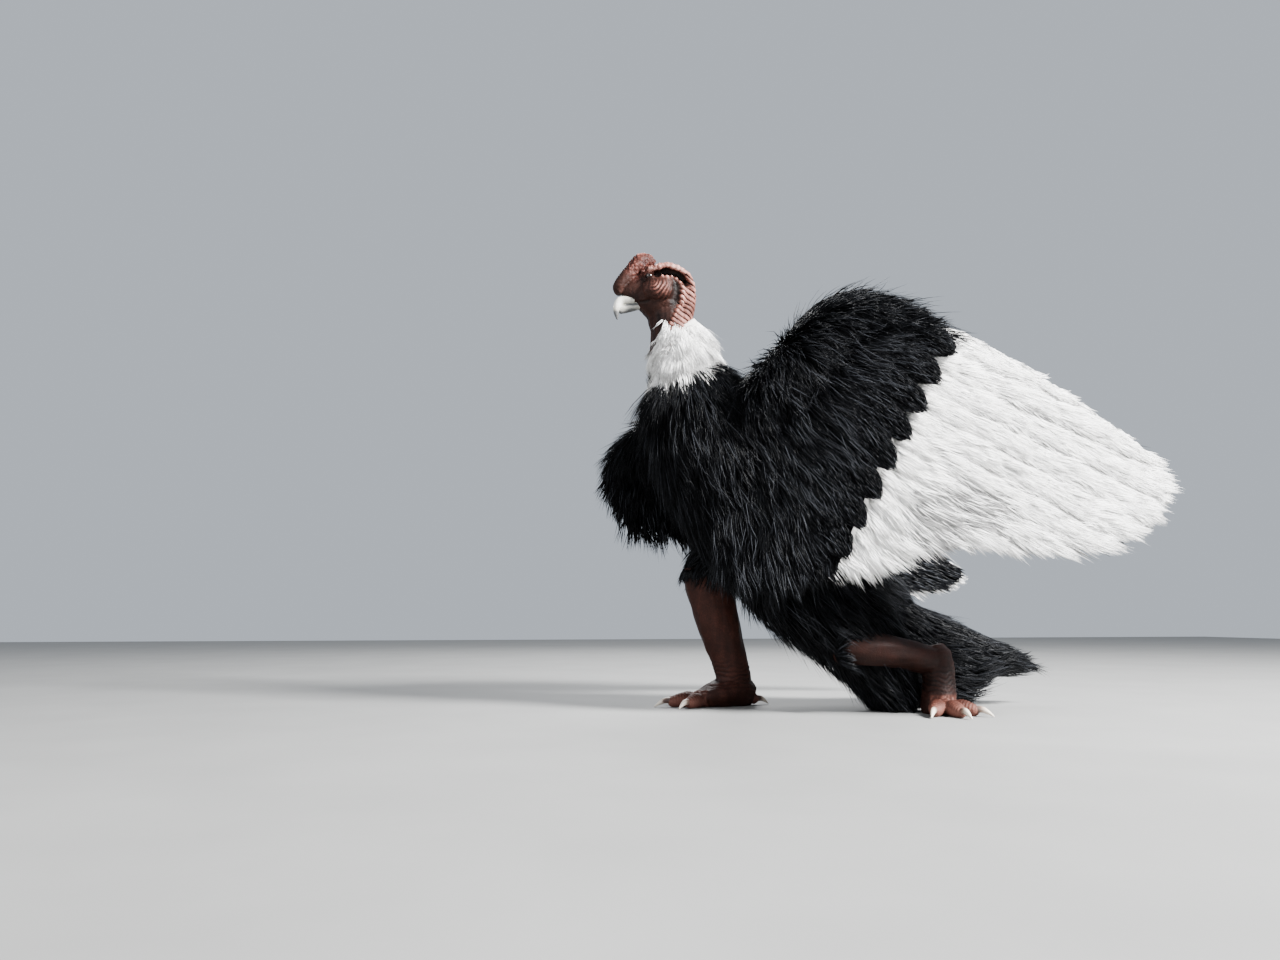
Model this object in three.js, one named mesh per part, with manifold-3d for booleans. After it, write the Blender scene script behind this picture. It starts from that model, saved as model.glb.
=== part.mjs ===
// A giant Andean condor costume on its display form, crouched with one wing raised and one held low.
// The bird faces -X, its left side is -Y, and +Z is up. Lengths are millimetres.
import * as THREE from "three";
import { mergeVertices } from "three/addons/utils/BufferGeometryUtils.js";
import Module from "manifold-3d";

const wasm = await Module();
wasm.setup();

const GAP = 0.35; // clearance between pieces that touch
const UP = new THREE.Vector3(0, 0, 1);
const ASIDE = new THREE.Vector3(0, 1, 0);
const SIDES = { left: -1, right: 1 };

// Colours and finishes of the costume
const FINISHES = {
  black_fur: { color: 0x0b0b0d, roughness: 0.85 },
  white_fur: { color: 0xe9e4da, roughness: 0.9 },
  skin: { color: 0x8a4f45, roughness: 0.6 },
  comb: { color: 0x8f4640, roughness: 0.6 },
  leg_rubber: { color: 0x5d302a, roughness: 0.65 },
  beak: { color: 0xd9d6cb, roughness: 0.35 },
  claw: { color: 0x6d6258, roughness: 0.4 },
  eye: { color: 0x1a0f0a, roughness: 0.15 },
};
const materials = Object.fromEntries(
  Object.entries(FINISHES).map(([name, look]) => [
    name,
    new THREE.MeshStandardMaterial({ ...look, metalness: 0, name }),
  ]),
);

// A closed three.js geometry as a manifold-3d solid, turned right way out
function solidOf(geometry) {
  const bare = geometry.clone();
  bare.deleteAttribute("normal");
  bare.deleteAttribute("uv");
  const merged = mergeVertices(bare, 1e-3);
  const triVerts = new Uint32Array(merged.index.array);
  const vertProperties = new Float32Array(merged.attributes.position.array);
  const made = new wasm.Manifold(new wasm.Mesh({ numProp: 3, vertProperties, triVerts }));
  if (made.volume() > 0) return made;
  for (let i = 0; i < triVerts.length; i += 3) {
    [triVerts[i + 1], triVerts[i + 2]] = [triVerts[i + 2], triVerts[i + 1]];
  }
  return new wasm.Manifold(new wasm.Mesh({ numProp: 3, vertProperties, triVerts }));
}

function geometryOf(solid) {
  const mesh = solid.getMesh();
  const places = new Float32Array(mesh.numVert * 3);
  for (let i = 0; i < mesh.numVert; i++) {
    places.set(mesh.vertProperties.subarray(i * mesh.numProp, i * mesh.numProp + 3), i * 3);
  }
  const geometry = new THREE.BufferGeometry();
  geometry.setAttribute("position", new THREE.BufferAttribute(places, 3));
  geometry.setIndex(new THREE.BufferAttribute(new Uint32Array(mesh.triVerts), 1));
  geometry.computeVertexNormals();
  return geometry;
}

function largest(solid) {
  return solid.decompose().reduce((a, b) => (a.volume() > b.volume() ? a : b));
}

function fuse(solids) {
  return solids.reduce((whole, piece) => whole.add(piece));
}

// The same solid with its surface pushed out by the clearance, used as a cutter
function grown(solid, by = GAP) {
  const geometry = geometryOf(solid);
  const { position, normal } = geometry.attributes;
  for (let i = 0; i < position.count; i++) {
    position.setXYZ(
      i,
      position.getX(i) + normal.getX(i) * by,
      position.getY(i) + normal.getY(i) * by,
      position.getZ(i) + normal.getZ(i) * by,
    );
  }
  return solidOf(geometry);
}

function cutClear(solid, ...others) {
  const cut = (rest, other) => rest.subtract(grown(other)).subtract(other);
  return largest(others.reduce(cut, solid));
}

// What lies above a level, so that a piece rests on a flat
function above(solid, level = 0) {
  const room = 6000;
  const block = new THREE.BoxGeometry(room, room, room).translate(0, 0, room / 2 + level);
  return solid.intersect(solidOf(block));
}

// A swollen form whose section is an oval that changes along it.
// frame(u) gives the section's centre, its half width and its rise and drop as vectors.
class Form {
  constructor(frame, { steps = 10, sides = 16, round = 2 } = {}) {
    Object.assign(this, { frame, steps, sides, round });
  }

  // The point at u along the form and at an angle round it: 0 is the side, a quarter turn the top
  point(u, angle, reach = 1) {
    const { centre, side, rise, drop } = this.frame(u);
    const soft = (x) => Math.sign(x) * Math.abs(x) ** (2 / this.round);
    const [across, along] = [soft(Math.cos(angle)), soft(Math.sin(angle))];
    const p = centre.clone().addScaledVector(side, across * reach);
    return p.addScaledVector(along > 0 ? rise : drop, Math.abs(along) * reach);
  }

  normal(u, angle) {
    const step = 1e-3;
    const along = this.point(Math.min(1, u + step), angle).sub(this.point(Math.max(0, u - step), angle));
    const round = this.point(u, angle + step).sub(this.point(u, angle - step));
    const out = round.cross(along).normalize();
    const from = this.point(u, angle).sub(this.point(u, angle, 0));
    return out.dot(from) < 0 ? out.negate() : out;
  }

  // The way the surface runs at a spot, from the form's start towards its end
  course(u, angle) {
    const step = 1e-3;
    const ahead = this.point(Math.min(1, u + step), angle).sub(this.point(Math.max(0, u - step), angle));
    return ahead.normalize();
  }

  solid() {
    const tube = new THREE.CylinderGeometry(1, 1, 1, this.sides, this.steps);
    const { position } = tube.attributes;
    for (let i = 0; i < position.count; i++) {
      const [x, y, z] = [position.getX(i), position.getY(i), position.getZ(i)];
      const reach = Math.min(1, Math.round(Math.hypot(x, z)));
      const p = this.point(0.5 - y, Math.atan2(z, x), reach);
      position.setXYZ(i, p.x, p.y, p.z);
    }
    return solidOf(tube);
  }
}

// A form along stations [x, y, z, half width, rise, drop]. The width lies along `side` where it is
// given, and otherwise level with the ground.
function limb(stations, { side, ...options } = {}) {
  const line = new THREE.CatmullRomCurve3(stations.map((s) => new THREE.Vector3(s[0], s[1], s[2])));
  const girth = new THREE.CatmullRomCurve3(stations.map((s) => new THREE.Vector3(s[3], s[4], s[5])));
  const frame = (u) => {
    const ahead = line.getTangent(u);
    const across = side ? side.clone() : UP.clone().cross(ahead);
    across.addScaledVector(ahead, -across.dot(ahead)).normalize();
    const top = ahead.cross(across).normalize();
    const size = girth.getPoint(u);
    return {
      centre: line.getPoint(u),
      side: across.multiplyScalar(size.x),
      rise: top.clone().multiplyScalar(size.y),
      drop: top.clone().multiplyScalar(-size.z),
    };
  };
  return new Form(frame, options);
}

// A round limb along stations [x, y, z, radius]
function round(stations, options) {
  return limb(stations.map(([x, y, z, r]) => [x, y, z, r, r, r]), options);
}

// A form seen from the side: stations [x, z, x, z, half width] give both ends of each section
function profile(stations, { y = 0, ...options } = {}) {
  const line = (pick) => new THREE.CatmullRomCurve3(stations.map(pick));
  const ends = [0, 2].map((k) => line((s) => new THREE.Vector3(s[k], y, s[k + 1])));
  const half = line((s) => new THREE.Vector3(s[4], 0, 0));
  const frame = (u) => {
    const [one, other] = ends.map((end) => end.getPoint(u));
    const centre = one.clone().add(other).multiplyScalar(0.5);
    return {
      centre,
      side: ASIDE.clone().multiplyScalar(half.getPoint(u).x),
      rise: one.sub(centre),
      drop: other.sub(centre),
    };
  };
  return new Form(frame, options);
}

const mirrored = (stations) => stations.map(([x, y, ...rest]) => [x, -y, ...rest]);

// Head: skull, cheeks and brow folds, with the comb, beak and eyes as pieces of their own
const SKULL = [
  [-550, 1296, -550, 1262, 24],
  [-566, 1328, -566, 1240, 48],
  [-598, 1360, -598, 1214, 64],
  [-640, 1376, -640, 1204, 72],
  [-688, 1372, -690, 1202, 58],
  [-728, 1352, -720, 1230, 44],
  [-765, 1325, -750, 1252, 32],
  [-790, 1302, -775, 1270, 16],
];
const CHEEK = [
  [-628, 62, 1282, 14, 22, 22],
  [-655, 64, 1288, 24, 36, 36],
  [-690, 56, 1290, 24, 36, 36],
  [-722, 42, 1284, 16, 24, 24],
];
const BROW = [
  [-716, 34, 1362, 8],
  [-692, 50, 1352, 12],
  [-652, 60, 1359, 14],
  [-614, 62, 1349, 14],
  [-588, 58, 1332, 13],
  [-570, 54, 1312, 9],
];
const COMB = [
  [-794, 0, 1280, 16, 10, 10],
  [-793, 0, 1303, 25, 21, 22],
  [-777, 0, 1331, 30, 22, 28],
  [-752, 0, 1362, 32, 23, 34],
  [-727, 0, 1389, 32, 26, 36],
  [-702, 0, 1397, 28, 24, 28],
  [-682, 0, 1386, 14, 13, 14],
];
const BEAK_UPPER = [
  [-732, 0, 1262, 24, 12, 8],
  [-765, 0, 1262, 22, 16, 14],
  [-788, 0, 1258, 18, 16, 16],
  [-800, 0, 1240, 14, 9, 12],
  [-801, 0, 1220, 9, 6, 9],
  [-798, 0, 1199, 2.5, 2, 2.5],
];
const BEAK_LOWER = [
  [-728, 0, 1248, 20, 12, 12],
  [-752, 0, 1243, 18, 15, 12],
  [-772, 0, 1231, 14, 14, 10],
  [-786, 0, 1219, 7, 7, 5],
];
const EYE = { at: [-706, 48, 1330], radius: 11 };

// Neck with the stack of skin folds down the nape
const NECK = [
  [-684, 1010, -530, 1010, 78],
  [-692, 1070, -540, 1070, 74],
  [-692, 1120, -556, 1130, 69],
  [-690, 1172, -566, 1190, 65],
  [-700, 1205, -566, 1240, 62],
  [-706, 1250, -566, 1290, 52],
];
const NAPE = { folds: 7, depth: 9 };
// The nape's back edge and, higher up, its front edge: each fold slopes down towards the back
const NAPE_LINE = [
  [-580, 1342, -626, 1366, 38],
  [-562, 1314, -612, 1348, 52],
  [-554, 1286, -604, 1322, 56],
  [-552, 1252, -602, 1290, 58],
  [-558, 1218, -608, 1256, 58],
  [-568, 1186, -620, 1222, 57],
  [-580, 1150, -632, 1184, 56],
];
const RUFF = [
  [-672, 1124, -540, 1222, 70],
  [-690, 1086, -512, 1186, 92],
  [-700, 1036, -490, 1138, 108],
  [-704, 996, -470, 1092, 120],
  [-690, 966, -458, 1056, 122],
];

const TORSO = [
  [-676, 1030, -500, 1092, 70],
  [-698, 985, -440, 1062, 124],
  [-708, 920, -380, 1010, 164],
  [-708, 830, -310, 930, 188],
  [-682, 720, -240, 830, 200],
  [-618, 596, -170, 720, 202],
  [-526, 460, -90, 610, 196],
  [-412, 335, 0, 520, 180],
  [-282, 250, 80, 440, 152],
  [-130, 208, 140, 380, 112],
  [20, 226, 150, 340, 60],
];
const TAIL = [
  [70, 372, 10, 120, 90],
  [150, 328, 90, 20, 120],
  [240, 290, 180, -25, 138],
  [330, 250, 280, -5, 138],
  [420, 208, 370, 70, 122],
  [500, 165, 470, 92, 84],
  [548, 135, 538, 108, 30],
];

// Legs. The right foot stands forward, the left leg is folded with its foot on its toes.
const THIGH_RIGHT = [
  [-180, 80, 505, 96, 80, 80],
  [-290, 108, 516, 116, 106, 106],
  [-390, 120, 500, 112, 104, 104],
  [-456, 124, 455, 98, 92, 92],
  [-482, 124, 408, 84, 88, 86],
];
const SHIN_RIGHT = [
  [-486, 124, 442, 62, 74, 76],
  [-480, 124, 405, 66, 78, 80],
  [-448, 124, 265, 60, 68, 70],
  [-412, 124, 140, 54, 58, 58],
  [-400, 124, 80, 54, 58, 56],
  [-402, 124, 40, 48, 52, 50],
];
const FOOT_RIGHT = [
  [-334, 126, 36, 26, 26, 40],
  [-366, 126, 46, 48, 46, 60],
  [-410, 124, 52, 60, 50, 60],
  [-460, 120, 42, 64, 36, 60],
  [-505, 116, 28, 52, 22, 40],
  [-524, 114, 22, 30, 14, 30],
];
const THIGH_LEFT = [
  [-455, 420, -190, 640, 70],
  [-440, 325, -110, 520, 112],
  [-385, 262, -60, 440, 128],
  [-320, 215, -10, 370, 132],
  [-245, 165, 40, 300, 128],
  [-165, 108, 75, 215, 118],
  [-100, 55, 95, 130, 104],
  [-60, 5, 95, 50, 90],
  [-20, -50, 60, -20, 60],
];
const SHIN_LEFT = [
  [-176, -170, 172, 28, 28, 28],
  [-140, -200, 180, 46, 45, 44],
  [-70, -218, 182, 52, 50, 46],
  [20, -218, 168, 47, 46, 44],
  [95, -214, 152, 44, 44, 44],
  [136, -212, 142, 34, 34, 36],
];
const FOOT_LEFT = [
  [118, -210, 196, 24, 26, 24],
  [122, -212, 168, 44, 44, 46],
  [128, -214, 112, 48, 44, 48],
  [122, -222, 62, 54, 46, 48],
  [112, -232, 26, 56, 44, 48],
  [110, -234, -14, 50, 38, 40],
];
// Toes run from a base in a heading, in degrees from -X towards -Y
const TOES = {
  right: { base: [-490, 116, 24], headings: { inner: 42, middle: 3, outer: -34, hind: 188 } },
  left: { base: [112, -250, 22], headings: { inner: 128, middle: 90, outer: 52, hind: 250 } },
};
const TOE = {
  radius: 23,
  inner: { length: 108, girth: 1, start: {} },
  middle: { length: 124, girth: 1, start: {} },
  outer: { length: 108, girth: 1, start: {} },
  hind: { length: 48, girth: 0.82, start: { right: 128, left: 60 } },
  // Stations along a toe: how far, how high and how thick
  bones: [
    [-0.2, 22, 0.8], [0.12, 26, 1.1], [0.36, 20, 0.9], [0.58, 21, 1.02],
    [0.8, 17, 0.86], [0.96, 14, 0.62], [1.02, 12, 0.34],
  ],
};
const CLAW = {
  length: 46,
  radius: 9.5,
  bones: [[-0.3, 15, 0.7], [-0.05, 19, 1], [0.3, 19, 0.85], [0.65, 12, 0.55], [1, 2.2, 0.12]],
};

// Wings. Each is drawn flat as [along, up] points in its own plane, which starts at `root`,
// runs back along `swing` degrees out from the body, and leans in at the top by `lean`.
const WINGS = {
  left: {
    root: [-330, -215, 900],
    swing: 24,
    lean: 8,
    arm: [
      [-420, -96, 850, 94],
      [-352, -160, 930, 100],
      [-276, -206, 1030, 94],
      [-212, -236, 1106, 84],
      [-130, -268, 1158, 72],
      [-46, -306, 1164, 56],
      [40, -350, 1126, 40],
      [104, -384, 1086, 22],
    ],
    covertTop: [[-46, 120], [16, 252], [96, 330], [196, 364], [300, 326], [392, 266], [440, 232]],
    covertFoot: [[-230, -330], [-190, -492], [-110, -516], [-20, -524], [52, -528], [110, -512], [140, -490]],
    fanTop: [
      [262, 312], [397, 254], [500, 204], [600, 144], [706, 66], [814, -24],
      [916, -104], [980, -176], [1008, -240], [1012, -276],
    ],
    fanFoot: [
      [30, -456], [118, -486], [200, -480], [300, -446], [430, -422], [580, -432],
      [726, -444], [850, -420], [956, -364], [1006, -304],
    ],
    lobeTips: [[480, 127], [166, -458]],
    lobeFocus: [-585, 959],
    lieFocus: [-250, 450],
    fanFocus: [-500, 340],
  },
  right: {
    root: [-790, 292, 760],
    swing: 5,
    lean: 4,
    arm: [
      [-500, 96, 860, 90],
      [-590, 190, 866, 90],
      [-672, 258, 836, 78],
      [-728, 292, 788, 60],
      [-742, 300, 730, 45],
      [-722, 302, 678, 32],
    ],
    covertTop: [[10, 30], [46, 92], [120, 160], [260, 226], [440, 250], [640, 204], [752, 146]],
    covertFoot: [[10, -30], [42, -110], [90, -172], [160, -192], [280, -206], [400, -270], [500, -330]],
    fanTop: [
      [560, 218], [746, 132], [852, 52], [950, -32], [1046, -118], [1130, -188],
      [1200, -238], [1254, -272], [1286, -300], [1296, -318],
    ],
    fanFoot: [
      [404, -286], [540, -330], [650, -350], [760, -362], [880, -372], [1000, -380],
      [1104, -382], [1190, -378], [1256, -364], [1290, -344],
    ],
    lobeTips: [[858, 96], [566, -372]],
    lobeFocus: [48, 456],
    lieFocus: [120, 400],
    fanFocus: [-130, 340],
  },
};
const LOCK = {
  sink: 9,
  wide: (s) => 0.7 + 0.9 * s - 1.6 * s * s,
  deep: (s) => 1 - s * s,
};
// Each stretch of fur: the size of its locks and how far they stand out
const COAT = {
  torso: { seed: 11, length: 190, width: 112, thick: 11, lift: 36, sag: 10 },
  tail: { seed: 12, length: 112, width: 92, thick: 10, lift: 22, sag: 6 },
  thigh: { seed: 13, length: 120, width: 84, thick: 9, lift: 24, sag: 6 },
  ruff: { seed: 14, length: 92, width: 58, thick: 8, lift: 18, sag: 2 },
  arm: { seed: 17, length: 84, width: 74, thick: 9, lift: 24, sag: 8 },
  coverts: { seed: 15, length: 165, width: 92, thick: 11, lift: 26, sag: 8 },
};
const FAN_TIERS = {
  seed: 21,
  width: 150,
  thick: 9,
  lift: 14,
  // Each tier: its share of the way out from the focus, and the stretch of the edge it follows
  tiers: [
    { share: 1.03, count: 10, length: 230, face: 1, from: 0.06, to: 0.93 },
    { share: 0.86, count: 6, length: 230, face: 1, from: 0.16, to: 0.9 },
    { share: 0.99, count: 6, length: 230, face: -1, from: 0.08, to: 0.9 },
  ],
};
const CAMBER = { depth: 55, middle: 420, reach: 600 };
const PANEL = { covertThick: 19, covertOff: 8, fanThick: 13 };
const LOBE = { count: 8, length: 250, width: 104, thick: 12, rise: 27, roll: 7 };

// A wing's plane: place() turns [along, up] and a height off the plane into a point
function wingPlane(name) {
  const { root, swing, lean } = WINGS[name];
  const way = SIDES[name];
  const [s, l] = [THREE.MathUtils.degToRad(swing), THREE.MathUtils.degToRad(lean)];
  const along = new THREE.Vector3(Math.cos(s), way * Math.sin(s), 0);
  const out = new THREE.Vector3(-Math.sin(s) * Math.cos(l), way * Math.cos(s) * Math.cos(l), Math.sin(l));
  const up = new THREE.Vector3(Math.sin(s) * Math.sin(l), -way * Math.cos(s) * Math.sin(l), Math.cos(l));
  const origin = new THREE.Vector3(...root);
  const bend = (a) => -CAMBER.depth * ((a - CAMBER.middle) / CAMBER.reach) ** 2;
  const place = ([a, b], off = 0) =>
    origin.clone().addScaledVector(along, a).addScaledVector(up, b).addScaledVector(out, off + bend(a));
  return { along, out, up, place };
}

// A panel between two edges drawn in a wing's plane
function panel(plane, top, foot, { thick, off, ...options }) {
  const edge = (points) => new THREE.CatmullRomCurve3(points.map((p) => plane.place(p, off)));
  const [upper, lower] = [edge(top), edge(foot)];
  const frame = (u) => {
    const [a, b] = [upper.getPoint(u), lower.getPoint(u)];
    return {
      centre: a.clone().add(b).multiplyScalar(0.5),
      side: a.clone().sub(b).multiplyScalar(0.5),
      rise: plane.out.clone().multiplyScalar(thick),
      drop: plane.out.clone().multiplyScalar(-thick),
    };
  };
  return new Form(frame, options);
}

// The scalloped lobes in which the black coverts end, each lying over the next one down
function lobes(name, plane) {
  const { lobeTips: [first, last], lobeFocus } = WINGS[name];
  const made = [];
  for (let i = 0; i < LOBE.count; i++) {
    const t = i / (LOBE.count - 1);
    const tip = [0, 1].map((k) => first[k] + (last[k] - first[k]) * t);
    const heading = new THREE.Vector2(tip[0] - lobeFocus[0], tip[1] - lobeFocus[1]).normalize();
    const size = 1 + 0.06 * Math.sin(i * 2.4);
    const roll = THREE.MathUtils.degToRad(LOBE.roll);
    const across = plane.along.clone().multiplyScalar(-heading.y).addScaledVector(plane.up, heading.x);
    across.multiplyScalar(Math.cos(roll)).addScaledVector(plane.out, Math.sin(roll));
    const stations = [
      [1, 0.62, 0.5], [0.6, 0.96, 1], [0.22, 1, 1], [0.03, 0.62, 0.8], [0, 0.3, 0.45],
    ].map(([back, wide, thick]) => {
      const reach = back * LOBE.length * size;
      const spot = [tip[0] - heading.x * reach, tip[1] - heading.y * reach];
      const p = plane.place(spot, LOBE.rise);
      return [p.x, p.y, p.z, (wide * LOBE.width) / 2, thick * LOBE.thick, thick * LOBE.thick];
    });
    made.push(limb(stations, { side: across, steps: 4, sides: 6, round: 2.2 }).solid());
  }
  return made;
}

// A seeded draw, so that the coat is the same each time
function drawer(seed) {
  let state = seed;
  return (low, high) => {
    state = (state + 0x6d2b79f5) | 0;
    let t = Math.imul(state ^ (state >>> 15), 1 | state);
    t = (t + Math.imul(t ^ (t >>> 7), 61 | t)) ^ t;
    return low + ((high - low) * ((t ^ (t >>> 14)) >>> 0)) / 2 ** 32;
  };
}

// A flat, tapered lock of fur. Its root is sunk under `root`, it runs `way` over the surface,
// rises by `lift` on its way out, and sags back by `sag` at its tip.
function lock({ root, out, way, length, width, thick, lift, sag }) {
  const across = out.clone().cross(way).normalize();
  const ahead = across.clone().cross(out).normalize();
  const cone = new THREE.ConeGeometry(1, 1, 3, 2);
  const { position } = cone.attributes;
  const corner = Math.sin((2 * Math.PI) / 3);
  for (let i = 0; i < position.count; i++) {
    const s = position.getY(i) + 0.5;
    const ring = 1 - s > 1e-6 ? 1 / (1 - s) : 0;
    const [x, z] = [(position.getX(i) * ring) / corner, position.getZ(i) * ring];
    const wide = LOCK.wide(s) * width * 0.5;
    const deep = LOCK.deep(s) * thick;
    const p = root.clone().addScaledVector(ahead, s * length).addScaledVector(across, x * wide);
    const sunk = LOCK.sink * Math.max(0, 1 - s * 3);
    p.addScaledVector(out, lift * s - sag * s * s - sunk + z * deep);
    position.setXYZ(i, p.x, p.y, p.z);
  }
  return solidOf(cone);
}

// Spots over a stretch of a form: rows along it, each row half a step round from the last
function spotsOn({ rows, count, from = 0, to = 1, start = 0, turn = 2 * Math.PI }) {
  const spots = [];
  for (let row = 0; row < rows; row++) {
    const u = from + ((to - from) * (row + 0.5)) / rows;
    for (let i = 0; i < count; i++) {
      spots.push([u, start + (turn * (i + 0.25 + (row % 2) * 0.5)) / count]);
    }
  }
  return spots;
}

// Locks over a form at the spots given, as loose solids
function locksOn(form, spots, { seed, lie, length, width, thick, lift, sag = 0 }) {
  const draw = drawer(seed);
  return spots.map(([u, angle]) => {
    const at = [THREE.MathUtils.clamp(u + draw(-0.012, 0.012), 0.004, 0.996), angle + draw(-0.08, 0.08)];
    const root = form.point(...at);
    const size = draw(0.85, 1.15);
    const way = lie ? lie(root) : form.course(...at);
    way.applyAxisAngle(form.normal(...at), draw(-0.16, 0.16));
    return lock({
      root, way, out: form.normal(...at), length: length * size, width: width * draw(0.85, 1.1),
      thick, lift: lift * draw(0.8, 1.15), sag,
    });
  });
}

// The node with those of its locks that keep clear of every other piece. Where locks hang over
// the piece `onto`, they are trimmed to lie on it.
function dressed(name, locks, onto) {
  const walls = Object.entries(solids)
    .filter(([other]) => other !== name && other !== onto)
    .map(([, solid]) => grown(solid));
  const trimmed = onto ? locks.map((one) => cutClear(one, solids[onto])) : locks;
  const free = trimmed.filter((one) => walls.every((wall) => one.intersect(wall).isEmpty()));
  return largest(fuse([solids[name], ...free]));
}

const solids = {};
const finishOf = {};
function keep(name, finish, solid) {
  solids[name] = solid;
  finishOf[name] = finish;
}

// Trunk
const torso = profile(TORSO, { steps: 11, sides: 16 });
const tail = profile(TAIL, { steps: 7, sides: 12, round: 2.3 });
keep("torso", "black_fur", torso.solid());
keep("tail", "black_fur", cutClear(above(tail.solid()), solids.torso));

// Head and neck
function nape() {
  const form = profile(NAPE_LINE, { steps: NAPE.folds * 3, sides: 10, round: 2.3 });
  const smooth = form.frame;
  form.frame = (u) => {
    const f = smooth(u);
    const swell = NAPE.depth * Math.abs(Math.cos(Math.PI * NAPE.folds * u)) ** 1.5;
    f.side.setLength(f.side.length() + swell);
    f.rise.setLength(f.rise.length() + swell);
    return f;
  };
  return form;
}

const bothSides = (stations, make) => [make(stations), make(mirrored(stations))];
const face = [
  profile(SKULL, { steps: 10, sides: 16, round: 2.2 }).solid(),
  ...bothSides(CHEEK, (s) => limb(s, { steps: 4, sides: 7 }).solid()),
  ...bothSides(BROW, (s) => round(s, { steps: 6, sides: 6 }).solid()),
];
const neck = profile(NECK, { steps: 5, sides: 16 }).solid();
for (const [name, way] of Object.entries(SIDES)) {
  const [x, y, z] = EYE.at;
  const ball = new THREE.SphereGeometry(EYE.radius, 8, 6).translate(x, way * y, z);
  keep("eye_" + name, "eye", solidOf(ball));
}
keep("comb", "comb", limb(COMB, { side: ASIDE, steps: 10, sides: 10 }).solid());
keep("beak_lower", "beak", limb(BEAK_LOWER, { side: ASIDE, steps: 4, sides: 8 }).solid());
const hook = limb(BEAK_UPPER, { side: ASIDE, steps: 8, sides: 8 }).solid();
keep("beak_upper", "beak", cutClear(hook, solids.beak_lower, solids.comb));
const faceParts = ["comb", "beak_upper", "beak_lower", "eye_left", "eye_right"].map((n) => solids[n]);
keep("head", "skin", cutClear(fuse(face), ...faceParts));
keep("neck", "skin", cutClear(neck, ...face, solids.torso));
keep("nape_folds", "skin", cutClear(nape().solid(), ...face, neck, solids.torso));
const ruff = profile(RUFF, { steps: 4, sides: 16 });
keep("ruff", "white_fur", cutClear(ruff.solid(), neck, ...face, solids.torso));
solids.nape_folds = cutClear(solids.nape_folds, solids.ruff);

// Wings
const wingForms = {};
for (const name of Object.keys(SIDES)) {
  const plan = WINGS[name];
  const plane = wingPlane(name);
  const coverts = panel(plane, plan.covertTop, plan.covertFoot, {
    thick: PANEL.covertThick, off: PANEL.covertOff, steps: 7, sides: 10, round: 2.6,
  });
  const fan = panel(plane, plan.fanTop, plan.fanFoot, {
    thick: PANEL.fanThick, off: 0, steps: 9, sides: 12, round: 2.6,
  });
  const arm = round(plan.arm, { side: ASIDE, steps: 8, sides: 10 });
  wingForms[name] = { coverts, fan, arm };
  const black = fuse([arm.solid(), coverts.solid(), ...lobes(name, plane)]);
  keep("wing_" + name + "_coverts", "black_fur", cutClear(black, solids.torso));
  const fanSolid = cutClear(fan.solid(), solids["wing_" + name + "_coverts"], solids.torso);
  keep("wing_" + name + "_fan", "white_fur", fanSolid);
}

// Legs
function footNodes(name, sole) {
  const { base, headings } = TOES[name];
  const toes = [];
  const claws = [];
  for (const [toe, degrees] of Object.entries(headings)) {
    const turn = THREE.MathUtils.degToRad(degrees);
    const way = new THREE.Vector3(-Math.cos(turn), -Math.sin(turn), 0);
    const size = TOE[toe];
    const length = size.length;
    const start = new THREE.Vector3(...base).addScaledVector(way, size.start[name] ?? 0);
    const along = (s) => start.clone().addScaledVector(way, s);
    const bone = ([s, z, k]) => {
      const r = TOE.radius * size.girth * k;
      return [along(s * length).x, along(s * length).y, z, r, r, r];
    };
    toes.push(limb(TOE.bones.map(bone), { steps: 5, sides: 6 }).solid());
    const hook = ([s, z, k]) => {
      const p = along(length + s * CLAW.length * size.girth);
      return [p.x, p.y, z, CLAW.radius * k, CLAW.radius * k * 1.15, CLAW.radius * k];
    };
    const claw = above(limb(CLAW.bones.map(hook), { steps: 5, sides: 5 }).solid());
    claws.push(claw);
    keep("claw_" + name + "_" + toe, "claw", claw);
  }
  keep("foot_" + name, "leg_rubber", cutClear(above(fuse([sole, ...toes])), ...claws));
}

footNodes("right", limb(FOOT_RIGHT, { steps: 6, sides: 9 }).solid());
const shinRight = limb(SHIN_RIGHT, { side: ASIDE, steps: 6, sides: 12 }).solid();
keep("shin_right", "leg_rubber", cutClear(above(shinRight, 30), solids.foot_right, solids.torso));
const thighs = {
  right: limb(THIGH_RIGHT, { side: ASIDE, steps: 6, sides: 14 }),
  left: profile(THIGH_LEFT, { y: -124, steps: 8, sides: 14 }),
};
keep("thigh_right", "black_fur", cutClear(thighs.right.solid(), solids.torso, solids.shin_right));

footNodes("left", limb(FOOT_LEFT, { side: ASIDE, steps: 6, sides: 9 }).solid());
const shinLeft = limb(SHIN_LEFT, { steps: 6, sides: 10 }).solid();
keep("shin_left", "leg_rubber", cutClear(shinLeft, solids.foot_left));
const leftClear = [solids.torso, solids.shin_left, solids.tail, solids.thigh_right];
keep("thigh_left", "black_fur", cutClear(above(thighs.left.solid()), ...leftClear));
for (const name of Object.keys(SIDES)) {
  const coverts = "wing_" + name + "_coverts";
  solids[coverts] = cutClear(solids[coverts], solids["thigh_" + name]);
  const fan = "wing_" + name + "_fan";
  solids[fan] = cutClear(solids[fan], solids["thigh_" + name], solids.tail);
}

// The coat's locks
function wingLie(name, focus) {
  const { place } = wingPlane(name);
  const from = place(focus);
  return (p) => p.clone().sub(from).normalize();
}
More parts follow.
